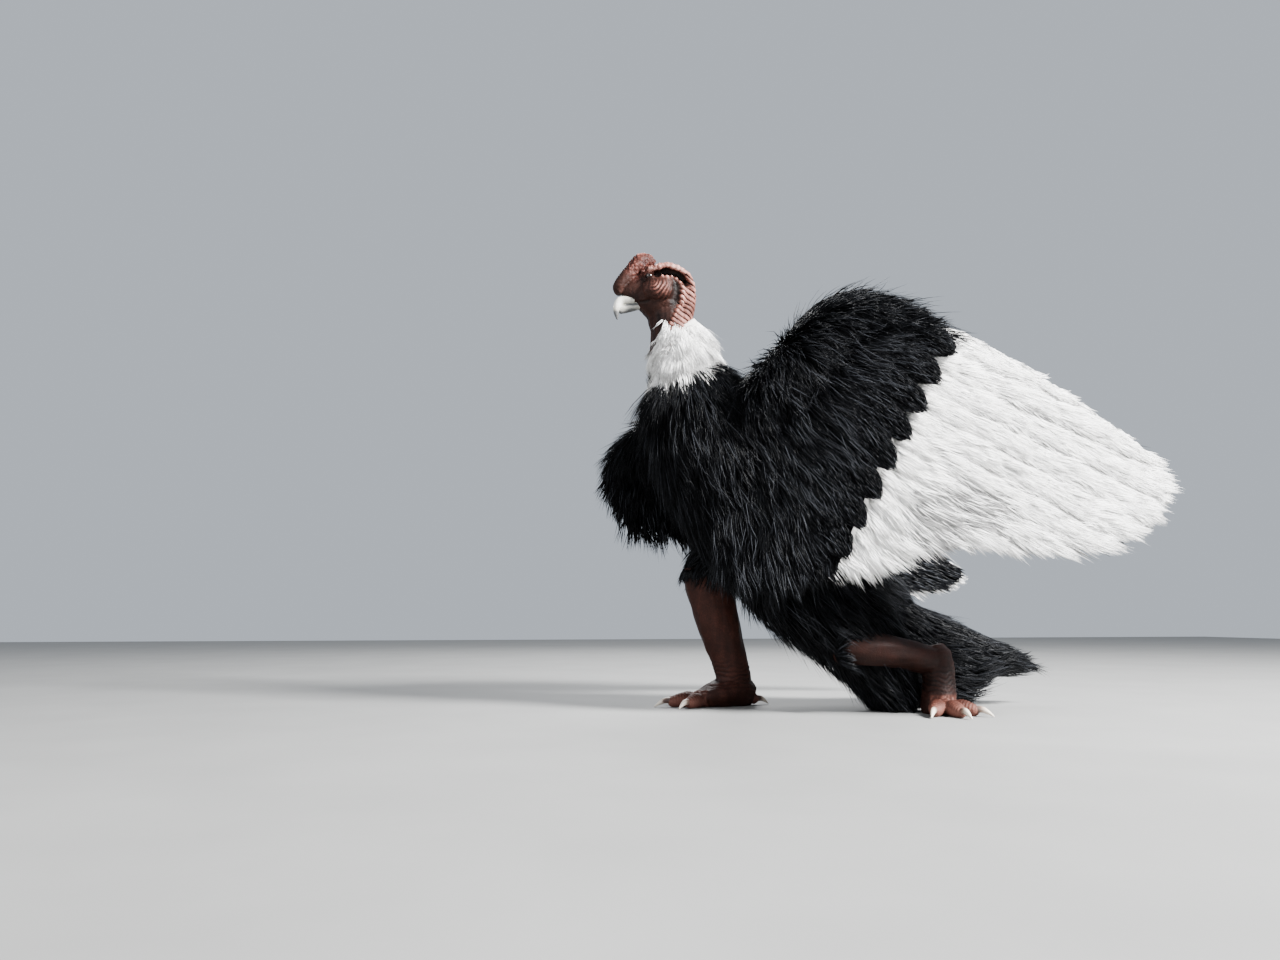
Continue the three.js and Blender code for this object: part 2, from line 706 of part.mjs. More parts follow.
// The fan's long locks lie in tiers. Each tier follows the fan's edge, drawn in towards the focus
// by its share, and each lock ends on it.
function fanLocks(name) {
  const plane = wingPlane(name);
  const { fanTop, fanFoot, fanFocus } = WINGS[name];
  const focus = new THREE.Vector2(...fanFocus);
  const points = [...fanFoot.slice(1), ...fanTop.slice(1).reverse()].map((p) => new THREE.Vector2(...p));
  const edge = new THREE.SplineCurve(points);
  const draw = drawer(FAN_TIERS.seed);
  const locks = [];
  for (const { share, count, length, face, from, to } of FAN_TIERS.tiers) {
    for (let i = 0; i < count; i++) {
      const at = edge.getPointAt(from + ((to - from) * (i + draw(0.35, 0.65))) / count);
      const tip = at.clone().sub(focus).multiplyScalar(share * draw(0.985, 1.015)).add(focus);
      const heading = tip.clone().sub(focus).normalize();
      const long = length * draw(0.9, 1.08);
      const root = tip.clone().addScaledVector(heading, -long);
      const way = plane.along.clone().multiplyScalar(heading.x).addScaledVector(plane.up, heading.y);
      const height = face * (PANEL.fanThick - FAN_TIERS.thick * 0.4);
      locks.push(lock({
        root: plane.place(root.toArray(), height), way, out: plane.out.clone().multiplyScalar(face),
        length: long, width: FAN_TIERS.width * draw(0.88, 1.1), thick: FAN_TIERS.thick,
        lift: FAN_TIERS.lift, sag: FAN_TIERS.lift,
      }));
    }
  }
  return locks;
}

const ruffSpots = spotsOn({ rows: 2, count: 11, from: 0.4, to: 1 });
solids.ruff = dressed("ruff", locksOn(ruff, ruffSpots, COAT.ruff), "torso");
const bodyLocks = {
  torso: () => locksOn(torso, spotsOn({ rows: 6, count: 9, from: 0.05, to: 0.92 }), COAT.torso),
  tail: () => locksOn(tail, spotsOn({ rows: 3, count: 6, from: 0.25, to: 0.84 }), COAT.tail),
  thigh_left: () => locksOn(thighs.left, spotsOn({ rows: 2, count: 7, from: 0.3, to: 0.75 }), COAT.thigh),
  thigh_right: () => locksOn(thighs.right, spotsOn({ rows: 1, count: 9, from: 0.55, to: 0.9 }), COAT.thigh),
};
for (const [name, make] of Object.entries(bodyLocks)) solids[name] = above(dressed(name, make()));
for (const name of Object.keys(SIDES)) {
  const { coverts, fan, arm } = wingForms[name];
  const lie = wingLie(name, WINGS[name].lieFocus);
  const black = [
    ...locksOn(coverts, spotsOn({ rows: 4, count: 3, from: 0.14, to: 0.8, start: 0.3, turn: 2.4 }), {
      ...COAT.coverts, lie,
    }),
    ...locksOn(arm, spotsOn({ rows: 4, count: 2, from: 0.3, to: 0.68, start: 0.4, turn: 2 }), COAT.arm),
  ];
  solids["wing_" + name + "_coverts"] = dressed("wing_" + name + "_coverts", black);
  solids["wing_" + name + "_fan"] = dressed("wing_" + name + "_fan", fanLocks(name));
}

// The finished figure, moved so that its own frame starts under the middle of it
const condor = new THREE.Group();
for (const [name, solid] of Object.entries(solids)) {
  const mesh = new THREE.Mesh(geometryOf(solid), materials[finishOf[name]]);
  mesh.name = name;
  condor.add(mesh);
}
const reach = new THREE.Box3().setFromObject(condor);
const middle = reach.getCenter(new THREE.Vector3());
condor.position.set(-middle.x, -middle.y, -reach.min.z);

export default condor;
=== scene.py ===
# The looks of a giant Andean condor costume on its display form: long-pile fur over a sewn
# backing, a wrinkled rubber head and neck, rubber gaiters and clawed overshoes.
import math

import bpy
import numpy as np
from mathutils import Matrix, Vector
from mathutils.bvhtree import BVHTree


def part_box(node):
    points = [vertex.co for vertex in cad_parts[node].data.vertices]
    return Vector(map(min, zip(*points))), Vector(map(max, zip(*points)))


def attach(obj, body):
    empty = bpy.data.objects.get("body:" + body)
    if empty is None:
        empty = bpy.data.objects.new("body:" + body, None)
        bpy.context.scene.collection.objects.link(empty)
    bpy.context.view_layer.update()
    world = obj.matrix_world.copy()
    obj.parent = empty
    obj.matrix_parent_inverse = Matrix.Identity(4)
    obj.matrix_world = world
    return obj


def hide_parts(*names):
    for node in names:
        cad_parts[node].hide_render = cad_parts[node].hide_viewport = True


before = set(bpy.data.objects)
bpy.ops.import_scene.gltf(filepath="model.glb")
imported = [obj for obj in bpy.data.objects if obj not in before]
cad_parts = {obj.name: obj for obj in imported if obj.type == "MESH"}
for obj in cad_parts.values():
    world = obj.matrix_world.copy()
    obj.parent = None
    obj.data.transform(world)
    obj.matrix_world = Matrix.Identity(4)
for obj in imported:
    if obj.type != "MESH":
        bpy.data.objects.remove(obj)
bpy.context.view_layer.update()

# The bird faces -X, its left side is -Y and +Z is up. Shapes are drawn in millimetres in the
# same drawing frame as the solids, and moved into the part's frame as they become meshes.
MM = 0.001
SIDES = {"left": -1, "right": 1}
UP = np.array([0.0, 0.0, 1.0])
ASIDE = np.array([0.0, 1.0, 0.0])
BACK = np.array([1.0, 0.0, 0.0])
EYE_AT = np.array([-706.0, 48.0, 1330.0])
EYE_RADIUS = 11.0
EYE_LOW, EYE_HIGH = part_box("eye_left")
SHIFT = np.array((EYE_LOW + EYE_HIGH) / 2) / MM - EYE_AT * [1, -1, 1]
# How fine the grids are that overlapping shells are fused on
HEAD_VOXEL, LEG_VOXEL, BODY_VOXEL, PROBE_VOXEL = 2.7, 3.2, 10, 8

# Head: [x, z, x, z, half width] gives both ends of a section, [x, y, z, half, rise, drop] a
# section round a centre line, and [x, y, z, radius] a round one
SKULL = [
    [-550, 1296, -550, 1262, 24], [-566, 1328, -566, 1240, 48],
    [-598, 1360, -598, 1214, 64], [-640, 1376, -640, 1204, 72],
    [-688, 1372, -690, 1202, 58], [-728, 1352, -720, 1230, 44],
    [-765, 1325, -750, 1252, 32], [-790, 1302, -775, 1270, 16],
]
CHEEK = [
    [-628, 62, 1282, 14, 22, 22], [-655, 64, 1288, 24, 36, 36],
    [-690, 56, 1290, 24, 36, 36], [-722, 42, 1284, 16, 24, 24],
]
BROW = [
    [-716, 34, 1362, 8], [-692, 50, 1352, 12], [-652, 60, 1359, 14],
    [-614, 62, 1349, 14], [-588, 58, 1332, 13], [-572, 53, 1310, 10], [-564, 48, 1286, 7],
]
COMB = [
    [-794, 0, 1280, 16, 10, 10], [-793, 0, 1303, 25, 21, 22], [-777, 0, 1331, 30, 22, 28],
    [-752, 0, 1362, 32, 23, 34], [-727, 0, 1389, 32, 26, 36], [-702, 0, 1397, 28, 24, 28],
    [-682, 0, 1386, 14, 13, 14],
]
BEAK_UPPER = [
    [-732, 0, 1262, 24, 12, 8], [-765, 0, 1262, 22, 16, 14], [-788, 0, 1258, 18, 16, 16],
    [-800, 0, 1240, 14, 15, 12], [-801, 0, 1220, 9, 9, 9], [-798, 0, 1199, 2.5, 2, 2.5],
]
BEAK_LOWER = [
    [-728, 0, 1248, 20, 12, 12], [-752, 0, 1243, 18, 15, 14],
    [-776, 0, 1235, 15, 15, 16], [-792, 0, 1224, 8, 8, 11],
]
NECK = [
    [-684, 1010, -530, 1010, 78], [-692, 1070, -540, 1070, 74], [-692, 1120, -556, 1130, 69],
    [-690, 1172, -566, 1190, 65], [-700, 1205, -566, 1240, 62], [-706, 1250, -566, 1290, 52],
]
NAPE = [
    [-580, 1342, -626, 1366, 38], [-562, 1314, -612, 1348, 52], [-554, 1286, -604, 1322, 56],
    [-552, 1252, -602, 1290, 58], [-558, 1218, -608, 1256, 58], [-568, 1186, -620, 1222, 57],
    [-580, 1150, -632, 1184, 56],
]
RUFF = [
    [-672, 1124, -540, 1222, 70], [-685, 1086, -512, 1186, 92], [-697, 1036, -490, 1138, 108],
    [-702, 1006, -462, 1084, 116],
]

# Trunk and thighs
TORSO = [
    [-676, 1030, -500, 1092, 70], [-698, 985, -440, 1062, 124], [-708, 920, -380, 1010, 164],
    [-708, 830, -310, 930, 188], [-682, 720, -240, 830, 200], [-618, 596, -170, 720, 202],
    [-526, 460, -90, 610, 196], [-412, 335, 0, 520, 180], [-282, 250, 80, 440, 152],
    [-130, 208, 140, 380, 112], [20, 226, 150, 340, 60],
]
TAIL = [
    [70, 372, 10, 120, 90], [150, 328, 90, 20, 120], [240, 290, 180, -25, 138],
    [330, 250, 280, -5, 138], [420, 208, 370, 70, 122], [500, 165, 470, 92, 84],
    [548, 135, 538, 108, 30],
]
THIGH_RIGHT = [
    [-180, 80, 505, 96, 80, 80], [-290, 108, 516, 116, 106, 106],
    [-390, 120, 500, 112, 104, 104], [-456, 124, 455, 98, 92, 92],
    [-482, 124, 408, 84, 88, 86],
]
THIGH_LEFT = [
    [-455, 420, -190, 640, 70], [-440, 325, -110, 520, 112], [-385, 262, -60, 440, 128],
    [-320, 215, -10, 370, 132], [-245, 165, 40, 300, 128], [-165, 108, 75, 215, 118],
    [-100, 55, 95, 130, 104], [-60, 5, 95, 50, 90], [-20, -50, 60, -20, 60],
]
THIGH_LEFT_Y = -124

# Gaiters, overshoes and claws
SHIN = {
    "right": [
        [-486, 124, 442, 62, 74, 76], [-480, 124, 405, 66, 78, 80],
        [-448, 124, 265, 60, 68, 70], [-412, 124, 140, 54, 58, 58],
        [-400, 124, 80, 54, 58, 56], [-402, 124, 40, 48, 52, 50],
    ],
    "left": [
        [-176, -170, 172, 28, 28, 28], [-140, -200, 180, 46, 45, 44],
        [-70, -218, 182, 52, 50, 46], [20, -218, 168, 47, 46, 44],
        [95, -214, 152, 44, 44, 44], [136, -212, 142, 34, 34, 36],
    ],
}
FOOT = {
    "right": [
        [-334, 126, 36, 26, 26, 40], [-366, 126, 46, 48, 46, 60], [-410, 124, 52, 60, 50, 60],
        [-460, 120, 42, 64, 36, 60], [-505, 116, 28, 52, 22, 40], [-524, 114, 22, 30, 14, 30],
    ],
    "left": [
        [118, -210, 196, 24, 26, 24], [122, -212, 168, 44, 44, 46],
        [128, -214, 112, 48, 44, 48], [122, -222, 62, 54, 46, 48],
        [112, -232, 26, 56, 44, 48], [110, -234, -14, 50, 38, 40],
    ],
}
TOES = {
    "right": ([-490, 116, 24], {"inner": 42, "middle": 3, "outer": -34, "hind": 188}),
    "left": ([112, -250, 22], {"inner": 128, "middle": 90, "outer": 52, "hind": 250}),
}
TOE_RADIUS = 23
TOE_LENGTH = {"inner": 108, "middle": 124, "outer": 108, "hind": 48}
HIND_GIRTH = 0.82
HIND_START = {"right": 128, "left": 60}
TOE_BONES = [
    [-0.2, 22, 0.8], [0.12, 26, 1.1], [0.36, 20, 0.9], [0.58, 21, 1.02],
    [0.8, 17, 0.86], [0.96, 14, 0.62], [1.02, 12, 0.34],
]
CLAW_LENGTH = 46
CLAW_RADIUS = 9.5
CLAW_RISE = 1.15
CLAW_BONES = [
    [-0.3, 15, 0.7], [-0.05, 19, 1], [0.3, 19, 0.85], [0.65, 12, 0.55], [1, 2.2, 0.12],
]

# Wings, drawn flat as [along, up] points in each wing's own plane
WINGS = {
    "left": {
        "root": [-330, -215, 900], "swing": 24, "lean": 8,
        "arm": [
            [-420, -96, 850, 94], [-352, -160, 930, 100], [-276, -206, 1030, 94],
            [-212, -236, 1106, 84], [-130, -268, 1158, 72], [-46, -306, 1164, 56],
            [40, -350, 1126, 40], [104, -384, 1086, 22],
        ],
        "covert_top": [
            [-46, 120], [16, 252], [96, 330], [196, 364], [300, 326], [392, 266], [440, 232],
        ],
        "covert_foot": [
            [-230, -330], [-190, -492], [-110, -516], [-20, -524], [52, -528], [110, -512],
            [140, -490],
        ],
        "fan_top": [
            [262, 312], [397, 254], [500, 204], [600, 144], [706, 66], [814, -24],
            [916, -104], [980, -176], [1008, -240], [1012, -276],
        ],
        "fan_foot": [
            [30, -456], [118, -486], [200, -480], [300, -446], [430, -422], [580, -432],
            [726, -444], [850, -420], [956, -364], [1006, -304],
        ],
        "lobe_tips": [[480, 127], [166, -458]],
        "lobe_focus": [-585, 959],
        "lie_focus": [-250, 450],
        "strip_focus": [-1585, 1141],
    },
    "right": {
        "root": [-790, 292, 760], "swing": 5, "lean": 4,
        "arm": [
            [-500, 96, 860, 90], [-590, 190, 866, 90], [-672, 258, 836, 78],
            [-728, 292, 788, 60], [-742, 300, 730, 45], [-722, 302, 678, 32],
        ],
        "covert_top": [
            [10, 30], [46, 92], [120, 160], [260, 226], [440, 250], [640, 204], [752, 146],
        ],
        "covert_foot": [
            [10, -30], [42, -110], [90, -172], [160, -192], [280, -206], [400, -270],
            [500, -330],
        ],
        "fan_top": [
            [560, 218], [746, 132], [852, 52], [950, -32], [1046, -118], [1130, -188],
            [1200, -238], [1254, -272], [1286, -300], [1296, -318],
        ],
        "fan_foot": [
            [404, -286], [540, -330], [650, -350], [760, -362], [880, -372], [1000, -380],
            [1104, -382], [1190, -378], [1256, -364], [1290, -344],
        ],
        "lobe_tips": [[858, 96], [566, -372]],
        "lobe_focus": [48, 456],
        "lie_focus": [120, 400],
        "strip_focus": [-1346, 1071],
    },
}
CAMBER_DEPTH, CAMBER_MIDDLE, CAMBER_REACH = 55, 420, 600
COVERT_THICK, COVERT_OFF, FAN_THICK = 19, 8, 13
LOBE_COUNT, LOBE_LENGTH, LOBE_WIDTH, LOBE_THICK, LOBE_RISE, LOBE_ROLL = 8, 250, 104, 12, 27, 7
LOBE_BONES = [
    [1, 0.62, 0.5], [0.6, 0.94, 1], [0.22, 0.92, 1], [0.03, 0.54, 0.8], [0, 0.24, 0.45],
]
# How much lower the roots of the lobes lie than their ends, to be covered by the coverts' pile
LOBE_SINK = 0.6


# Forms
def curve(points, u):
    """Places at shares u along a smooth curve through the points."""
    points = np.asarray(points, float)
    run = np.vstack([2 * points[0] - points[1], points, 2 * points[-1] - points[-2]])
    at = np.clip(np.atleast_1d(u).astype(float), 0, 1) * (len(points) - 1)
    first = np.minimum(at.astype(int), len(points) - 2)
    w = (at - first)[:, None]
    before, start, end, after = (run[first + k] for k in range(4))
    gaps = [((b - a) ** 2).sum(1)[:, None] ** 0.25 for a, b in
            ((before, start), (start, end), (end, after))]
    middle = np.where(gaps[1] < 1e-4, 1.0, gaps[1])
    low, high = (np.where(g < 1e-4, middle, g) for g in (gaps[0], gaps[2]))
    leave = (start - before) / low - (end - before) / (low + middle) + (end - start) / middle
    arrive = (end - start) / middle - (after - start) / (middle + high) + (after - end) / high
    leave, arrive = leave * middle, arrive * middle
    square = -3 * start + 3 * end - 2 * leave - arrive
    cube = 2 * start - 2 * end + leave + arrive
    return start + leave * w + square * w**2 + cube * w**3


def unit(v):
    return v / np.maximum(np.linalg.norm(v, axis=-1, keepdims=True), 1e-9)


def dot(a, b):
    return (a * b).sum(-1, keepdims=True)


class Form:
    """A swollen form whose section is an oval that changes along it. frame(u) gives the
    section's centre, its half width, and its rise and drop, as vectors."""

    def __init__(self, frame_of, round=2.0, depth=0.0):
        self.frame_of = frame_of
        self.round = round
        self.depth = depth

    def inset(self, depth):
        """The same form with its surface lower by the depth."""
        return Form(self.frame_of, self.round, self.depth + depth)

    def sections(self, u):
        centre, *spokes = self.frame_of(u)
        if not self.depth:
            return (centre, *spokes)
        sizes = [np.linalg.norm(s, axis=1, keepdims=True) for s in spokes]
        shares = [np.maximum(1 - self.depth / np.maximum(k, 1e-6), 0.2) for k in sizes]
        return (centre, *(s * k for s, k in zip(spokes, shares)))

    def points(self, u, angle, reach=1.0):
        centre, side, rise, drop = self.sections(u)
        across, along = (
            (np.sign(t) * np.abs(t) ** (2 / self.round))[:, None]
            for t in (np.cos(angle), np.sin(angle))
        )
        return centre + reach * (side * across + np.where(along > 0, rise, drop) * np.abs(along))

    def course(self, u, angle):
        """The way the surface runs, from the form's start towards its end."""
        step = 1e-3
        ahead = self.points(np.minimum(u + step, 1), angle)
        return unit(ahead - self.points(np.maximum(u - step, 0), angle))

    def normals(self, u, angle):
        step = 1e-2
        around = self.points(u, angle + step) - self.points(u, angle - step)
        out = unit(np.cross(around, self.course(u, angle)))
        away = self.points(u, angle) - self.points(u, angle, 0.0)
        return out * np.where(dot(out, away) < 0, -1, 1)

    def shell(self, steps, sides):
        """A closed mesh of the form as vertices and faces."""
        u = np.repeat(np.linspace(0, 1, steps + 1), sides)
        angle = np.tile(np.arange(sides) * 2 * np.pi / sides, steps + 1)
        ends = self.sections(np.array([0.0, 1.0]))[0]
        vertices = np.vstack([self.points(u, angle), ends])
        faces = []
        for i in range(steps):
            for j in range(sides):
                k = (j + 1) % sides
                faces.append((i * sides + j, i * sides + k, (i + 1) * sides + k,
                              (i + 1) * sides + j))
        first, last = len(vertices) - 2, len(vertices) - 1
        for j in range(sides):
            k = (j + 1) % sides
            faces.append((first, k, j))
            faces.append((last, steps * sides + j, steps * sides + k))
        return turned_out(vertices, faces)


def turned_out(vertices, faces):
    """The same closed mesh with its faces pointing outwards."""
    volume = 0.0
    for face in faces:
        a = vertices[face[0]]
        for k in range(1, len(face) - 1):
            volume += np.dot(a, np.cross(vertices[face[k]], vertices[face[k + 1]]))
    return vertices, faces if volume > 0 else [face[::-1] for face in faces]


def limb(stations, side=None, **options):
    stations = np.asarray(stations, float)

    def frame_of(u):
        u = np.atleast_1d(u)
        ahead = curve(stations[:, :3], u + 1e-4) - curve(stations[:, :3], u - 1e-4)
        ahead = unit(ahead)
        across = np.cross(UP, ahead) if side is None else np.broadcast_to(side, ahead.shape)
        across = unit(across - ahead * dot(across, ahead))
        top = unit(np.cross(ahead, across))
        size = curve(stations[:, 3:], u)
        return (curve(stations[:, :3], u), across * size[:, :1], top * size[:, 1:2],
                -top * size[:, 2:3])

    return Form(frame_of, **options)


def rod(stations, side=None, **options):
    """A round limb along stations [x, y, z, radius]."""
    return limb([[*s[:3], s[3], s[3], s[3]] for s in stations], side, **options)


def profile(stations, y=0.0, **options):
    s = np.asarray(stations, float)
    level = np.full(len(s), float(y))
    lines = [np.stack([s[:, k], level, s[:, k + 1]], 1) for k in (0, 2)]
    half = np.stack([s[:, 4], 0 * level, 0 * level], 1)

    def frame_of(u):
        one, other = (curve(line, u) for line in lines)
        centre = (one + other) / 2
        return centre, ASIDE * curve(half, u)[:, :1], one - centre, other - centre

    return Form(frame_of, **options)


def mirrored(stations):
    return [[x, -y, *rest] for x, y, *rest in stations]


class WingPlane:
    """The plane a wing is drawn in, with a slight camber."""

    def __init__(self, name):
        swing, lean = (math.radians(WINGS[name][k]) for k in ("swing", "lean"))
        way = SIDES[name]
        self.root = np.array(WINGS[name]["root"], float)
        self.along = np.array([math.cos(swing), way * math.sin(swing), 0])
        self.out = np.array([-math.sin(swing) * math.cos(lean),
                             way * math.cos(swing) * math.cos(lean), math.sin(lean)])
        self.up = np.array([math.sin(swing) * math.sin(lean),
                            -way * math.cos(swing) * math.sin(lean), math.cos(lean)])

    def place(self, spots, off=0.0):
        spots = np.atleast_2d(np.asarray(spots, float))
        a, b = spots[:, :1], spots[:, 1:2]
        bend = -CAMBER_DEPTH * ((a - CAMBER_MIDDLE) / CAMBER_REACH) ** 2
        return self.root + self.along * a + self.up * b + self.out * (off + bend)

    def flat(self, points):
        """The [along, up] places of points."""
        from_root = points - self.root
        return np.stack([from_root @ self.along, from_root @ self.up], 1)


def panel(plane, top, foot, thick, off=0.0, **options):
    upper, lower = plane.place(top, off), plane.place(foot, off)

    def frame_of(u):
        a, b = curve(upper, u), curve(lower, u)
        rise = np.broadcast_to(plane.out * thick, a.shape)
        return (a + b) / 2, (a - b) / 2, rise, -rise

    return Form(frame_of, **options)


def lobe_forms(name, plane):
    """The scalloped lobes in which the black coverts end."""
    (first, last), focus = (np.array(WINGS[name][k], float) for k in ("lobe_tips", "lobe_focus"))
    roll = math.radians(LOBE_ROLL)
    made = []
    for i in range(LOBE_COUNT):
        tip = first + (last - first) * (i / (LOBE_COUNT - 1))
        heading = unit(tip - focus)
        size = 1 + 0.06 * math.sin(i * 2.4)
        level = -plane.along * heading[1] + plane.up * heading[0]
        across = level * math.cos(roll) + plane.out * math.sin(roll)
        stations = []
        for back, wide, thick in LOBE_BONES:
            rise = LOBE_RISE * (1 - LOBE_SINK * back**2)
            p = plane.place(tip - heading * back * LOBE_LENGTH * size, rise)[0]
            stations.append([*p, wide * LOBE_WIDTH / 2, thick * LOBE_THICK, thick * LOBE_THICK])
        made.append(limb(stations, across, round=2.2))
    return made


# Seeded noise over the drawing
def hashed(x, y, z, salt):
    h = (x * 374761393 + y * 668265263 + z * 2147483629 + salt * 1274126177) & 0xFFFFFFFF
    h = ((h ^ (h >> 13)) * 1274126177) & 0xFFFFFFFF
    h = ((h ^ (h >> 15)) * 668265263) & 0xFFFFFFFF
    return (h ^ (h >> 16)) / 2.0**32


def noise(points, size, salt=0):
    """Smooth noise from -1 to 1 that varies over about `size` millimetres."""
    p = points / np.asarray(size, float)
    low = np.floor(p).astype(np.int64)
    t = p - low
    t = t * t * (3 - 2 * t)
    value = np.zeros(len(p))
    for corner in range(8):
        bits = [(corner >> k) & 1 for k in range(3)]
        weight = np.ones(len(p))
        for k in range(3):
            weight *= t[:, k] if bits[k] else 1 - t[:, k]
        value += weight * hashed(*(low[:, k] + bits[k] for k in range(3)), salt)
    return value * 2 - 1


def cells(points, size, salt=0):
    """Each point's nearest of a set of scattered centres: the centre, its distance over
    `size`, the distance to the next one, and three draws that belong to the centre."""
    p = points / np.asarray(size, float)
    home = np.floor(p).astype(np.int64)
    best = np.full(len(p), 9.0)
    second = np.full(len(p), 9.0)
    centre = np.zeros_like(p)
    for dx in (-1, 0, 1):
        for dy in (-1, 0, 1):
            for dz in (-1, 0, 1):
                x, y, z = home[:, 0] + dx, home[:, 1] + dy, home[:, 2] + dz
                jitter = [hashed(x, y, z, salt + k) for k in range(3)]
                spot = np.stack([x + jitter[0], y + jitter[1], z + jitter[2]], 1)
                gap = np.linalg.norm(spot - p, axis=1)
                closer = gap < best
                second = np.where(closer, best, np.minimum(second, gap))
                best = np.where(closer, gap, best)
                centre[closer] = spot[closer]
    tag = np.floor(centre * 64).astype(np.int64)
    draws = np.stack([hashed(tag[:, 0], tag[:, 1], tag[:, 2], salt + 7 + k) for k in range(3)], 1)
    return centre * size, best, second, draws


def ease(x, low, high):
    t = np.clip((x - low) / (high - low), 0, 1)
    return t * t * (3 - 2 * t)


def bell(distance, width):
    return np.exp(-((distance / width) ** 2))


def line_distance(flat, line):
    """The distance of each flat point from a line of points, and its share along it."""
    line = np.asarray(line, float)
    best = np.full(len(flat), 1e9)
    share = np.zeros(len(flat))
    for i in range(len(line) - 1):
        a, b = line[i], line[i + 1]
        t = np.clip(((flat - a) @ (b - a)) / ((b - a) @ (b - a)), 0, 1)
        gap = np.linalg.norm(flat - a - t[:, None] * (b - a), axis=1)
        closer = gap < best
        best[closer] = gap[closer]
        share[closer] = ((i + t) / (len(line) - 1))[closer]
    return best, share


# Meshes
def placed(points):
    return (points + SHIFT) * MM


def drawn(points):
    return points / MM - SHIFT


def linked(name, data):
    """A new object that stands in the scene."""
    made = bpy.data.objects.new(name, data)
    bpy.context.scene.collection.objects.link(made)
    return made


def mesh_object(name, vertices, faces):
    mesh = bpy.data.meshes.new(name)
    mesh.from_pydata([tuple(v) for v in placed(np.asarray(vertices))], [], faces)
    mesh.update()
    return linked(name, mesh)


def joined(shells):
    vertices, faces = [], []
    start = 0
    for points, polygons in shells:
        vertices.append(points)
        faces += [tuple(start + k for k in face) for face in polygons]
        start += len(points)
    return np.vstack(vertices), faces


def applied(made):
    """The object with its modifiers applied."""
    graph = bpy.context.evaluated_depsgraph_get()
    graph.update()
    mesh = bpy.data.meshes.new_from_object(made.evaluated_get(graph))
    old = made.data
    made.modifiers.clear()
    made.data = mesh
    bpy.data.meshes.remove(old)
    mesh.name = made.name
    return made


def fused(name, shells, voxel, smoothing):
    """One closed skin over overlapping shells."""
    made = mesh_object(name, *joined(shells))
    remesh = made.modifiers.new("fuse", "REMESH")
    remesh.mode = "VOXEL"
    remesh.voxel_size = voxel * MM
    soften = made.modifiers.new("soften", "SMOOTH")
    soften.factor = 0.5
    soften.iterations = smoothing
    return applied(made)


def read_vectors(made, kind):
    values = np.zeros(len(made.data.vertices) * 3, np.float32)
    made.data.vertices.foreach_get(kind, values)
    return values.reshape(-1, 3).astype(float)


def places_of(made):
    return drawn(read_vectors(made, "co"))


def normals_of(made):
    return read_vectors(made, "normal")


def move_to(made, points):
    """Moves the vertices to the points, but none of them below the floor."""
    points[:, 2] = np.maximum(points[:, 2], 0.0)
    made.data.vertices.foreach_set("co", placed(points).astype(np.float32).ravel())
    made.data.update()


def mark(made, name, values):
    """Keeps a number for each vertex, for the materials."""
    attribute = made.data.attributes.new(name, "FLOAT", "POINT")
    attribute.data.foreach_set("value", np.asarray(values, np.float32))


def sculpted(made, relief):
    """Moves the skin along its normals by relief(places, normals), and keeps the tones."""
    points, out = places_of(made), normals_of(made)
    height, tones = relief(points, out)
    move_to(made, points + out * height[:, None])
    for name, values in tones.items():
        mark(made, name, np.clip(values, 0, 1))


# Materials
def fill(tree, made, **inputs):
    """Sets a node's inputs, each to a value or from another node's output."""
    for name, value in inputs.items():
        socket = made.inputs[name.replace("_", " ")]
        if isinstance(value, bpy.types.NodeSocket):
            tree.links.new(value, socket)
        else:
            socket.default_value = value
    return made


def node(tree, kind, **inputs):
    return fill(tree, tree.nodes.new(kind), **inputs)


def new_material(name, **sockets):
    material = bpy.data.materials.new(name)
    material.use_nodes = True
    tree = material.node_tree
    return material, tree, fill(tree, tree.nodes["Principled BSDF"], **sockets)


def ramp(tree, source, stops):
    made = node(tree, "ShaderNodeValToRGB", Fac=source)
    band = made.color_ramp
    while len(band.elements) < len(stops):
        band.elements.new(0.5)
    for element, (place, colour) in zip(band.elements, stops):
        element.position = place
        element.color = (*colour, 1)
    return made.outputs["Color"]


def attribute(tree, name):
    made = tree.nodes.new("ShaderNodeAttribute")
    made.attribute_name = name
    return made.outputs["Fac"]


def maths(tree, operation, *terms):
    made = tree.nodes.new("ShaderNodeMath")
    made.operation = operation
    for socket, term in zip(made.inputs, terms):
        if isinstance(term, (int, float)):
            socket.default_value = term
        else:
            tree.links.new(term, socket)
    return made.outputs[0]


def total(tree, one, other):
    return maths(tree, "ADD", one, other)


def times(tree, one, other):
    return maths(tree, "MULTIPLY", one, other)


def wobble(tree, source, amount):
    """A texture's value moved to vary about zero."""
    return times(tree, maths(tree, "SUBTRACT", source, 0.5), amount)


def scaled(tree, scale=(1, 1, 1)):
    """The object's own coordinates, stretched by a scale for each axis."""
    where = tree.nodes.new("ShaderNodeTexCoord").outputs["Object"]
    return node(tree, "ShaderNodeMapping", Vector=where, Scale=scale).outputs["Vector"]


def tinted(tree, share, colour, tint):
    """A colour that turns into a fixed tint by a share."""
    return node(tree, "ShaderNodeMixRGB", Fac=share, Color1=colour, Color2=(*tint, 1)).outputs["Color"]


def embossed(tree, shader, height, strength, distance):
    relief = node(tree, "ShaderNodeBump", Height=height, Strength=strength, Distance=distance)
    fill(tree, shader, Normal=relief.outputs["Normal"])


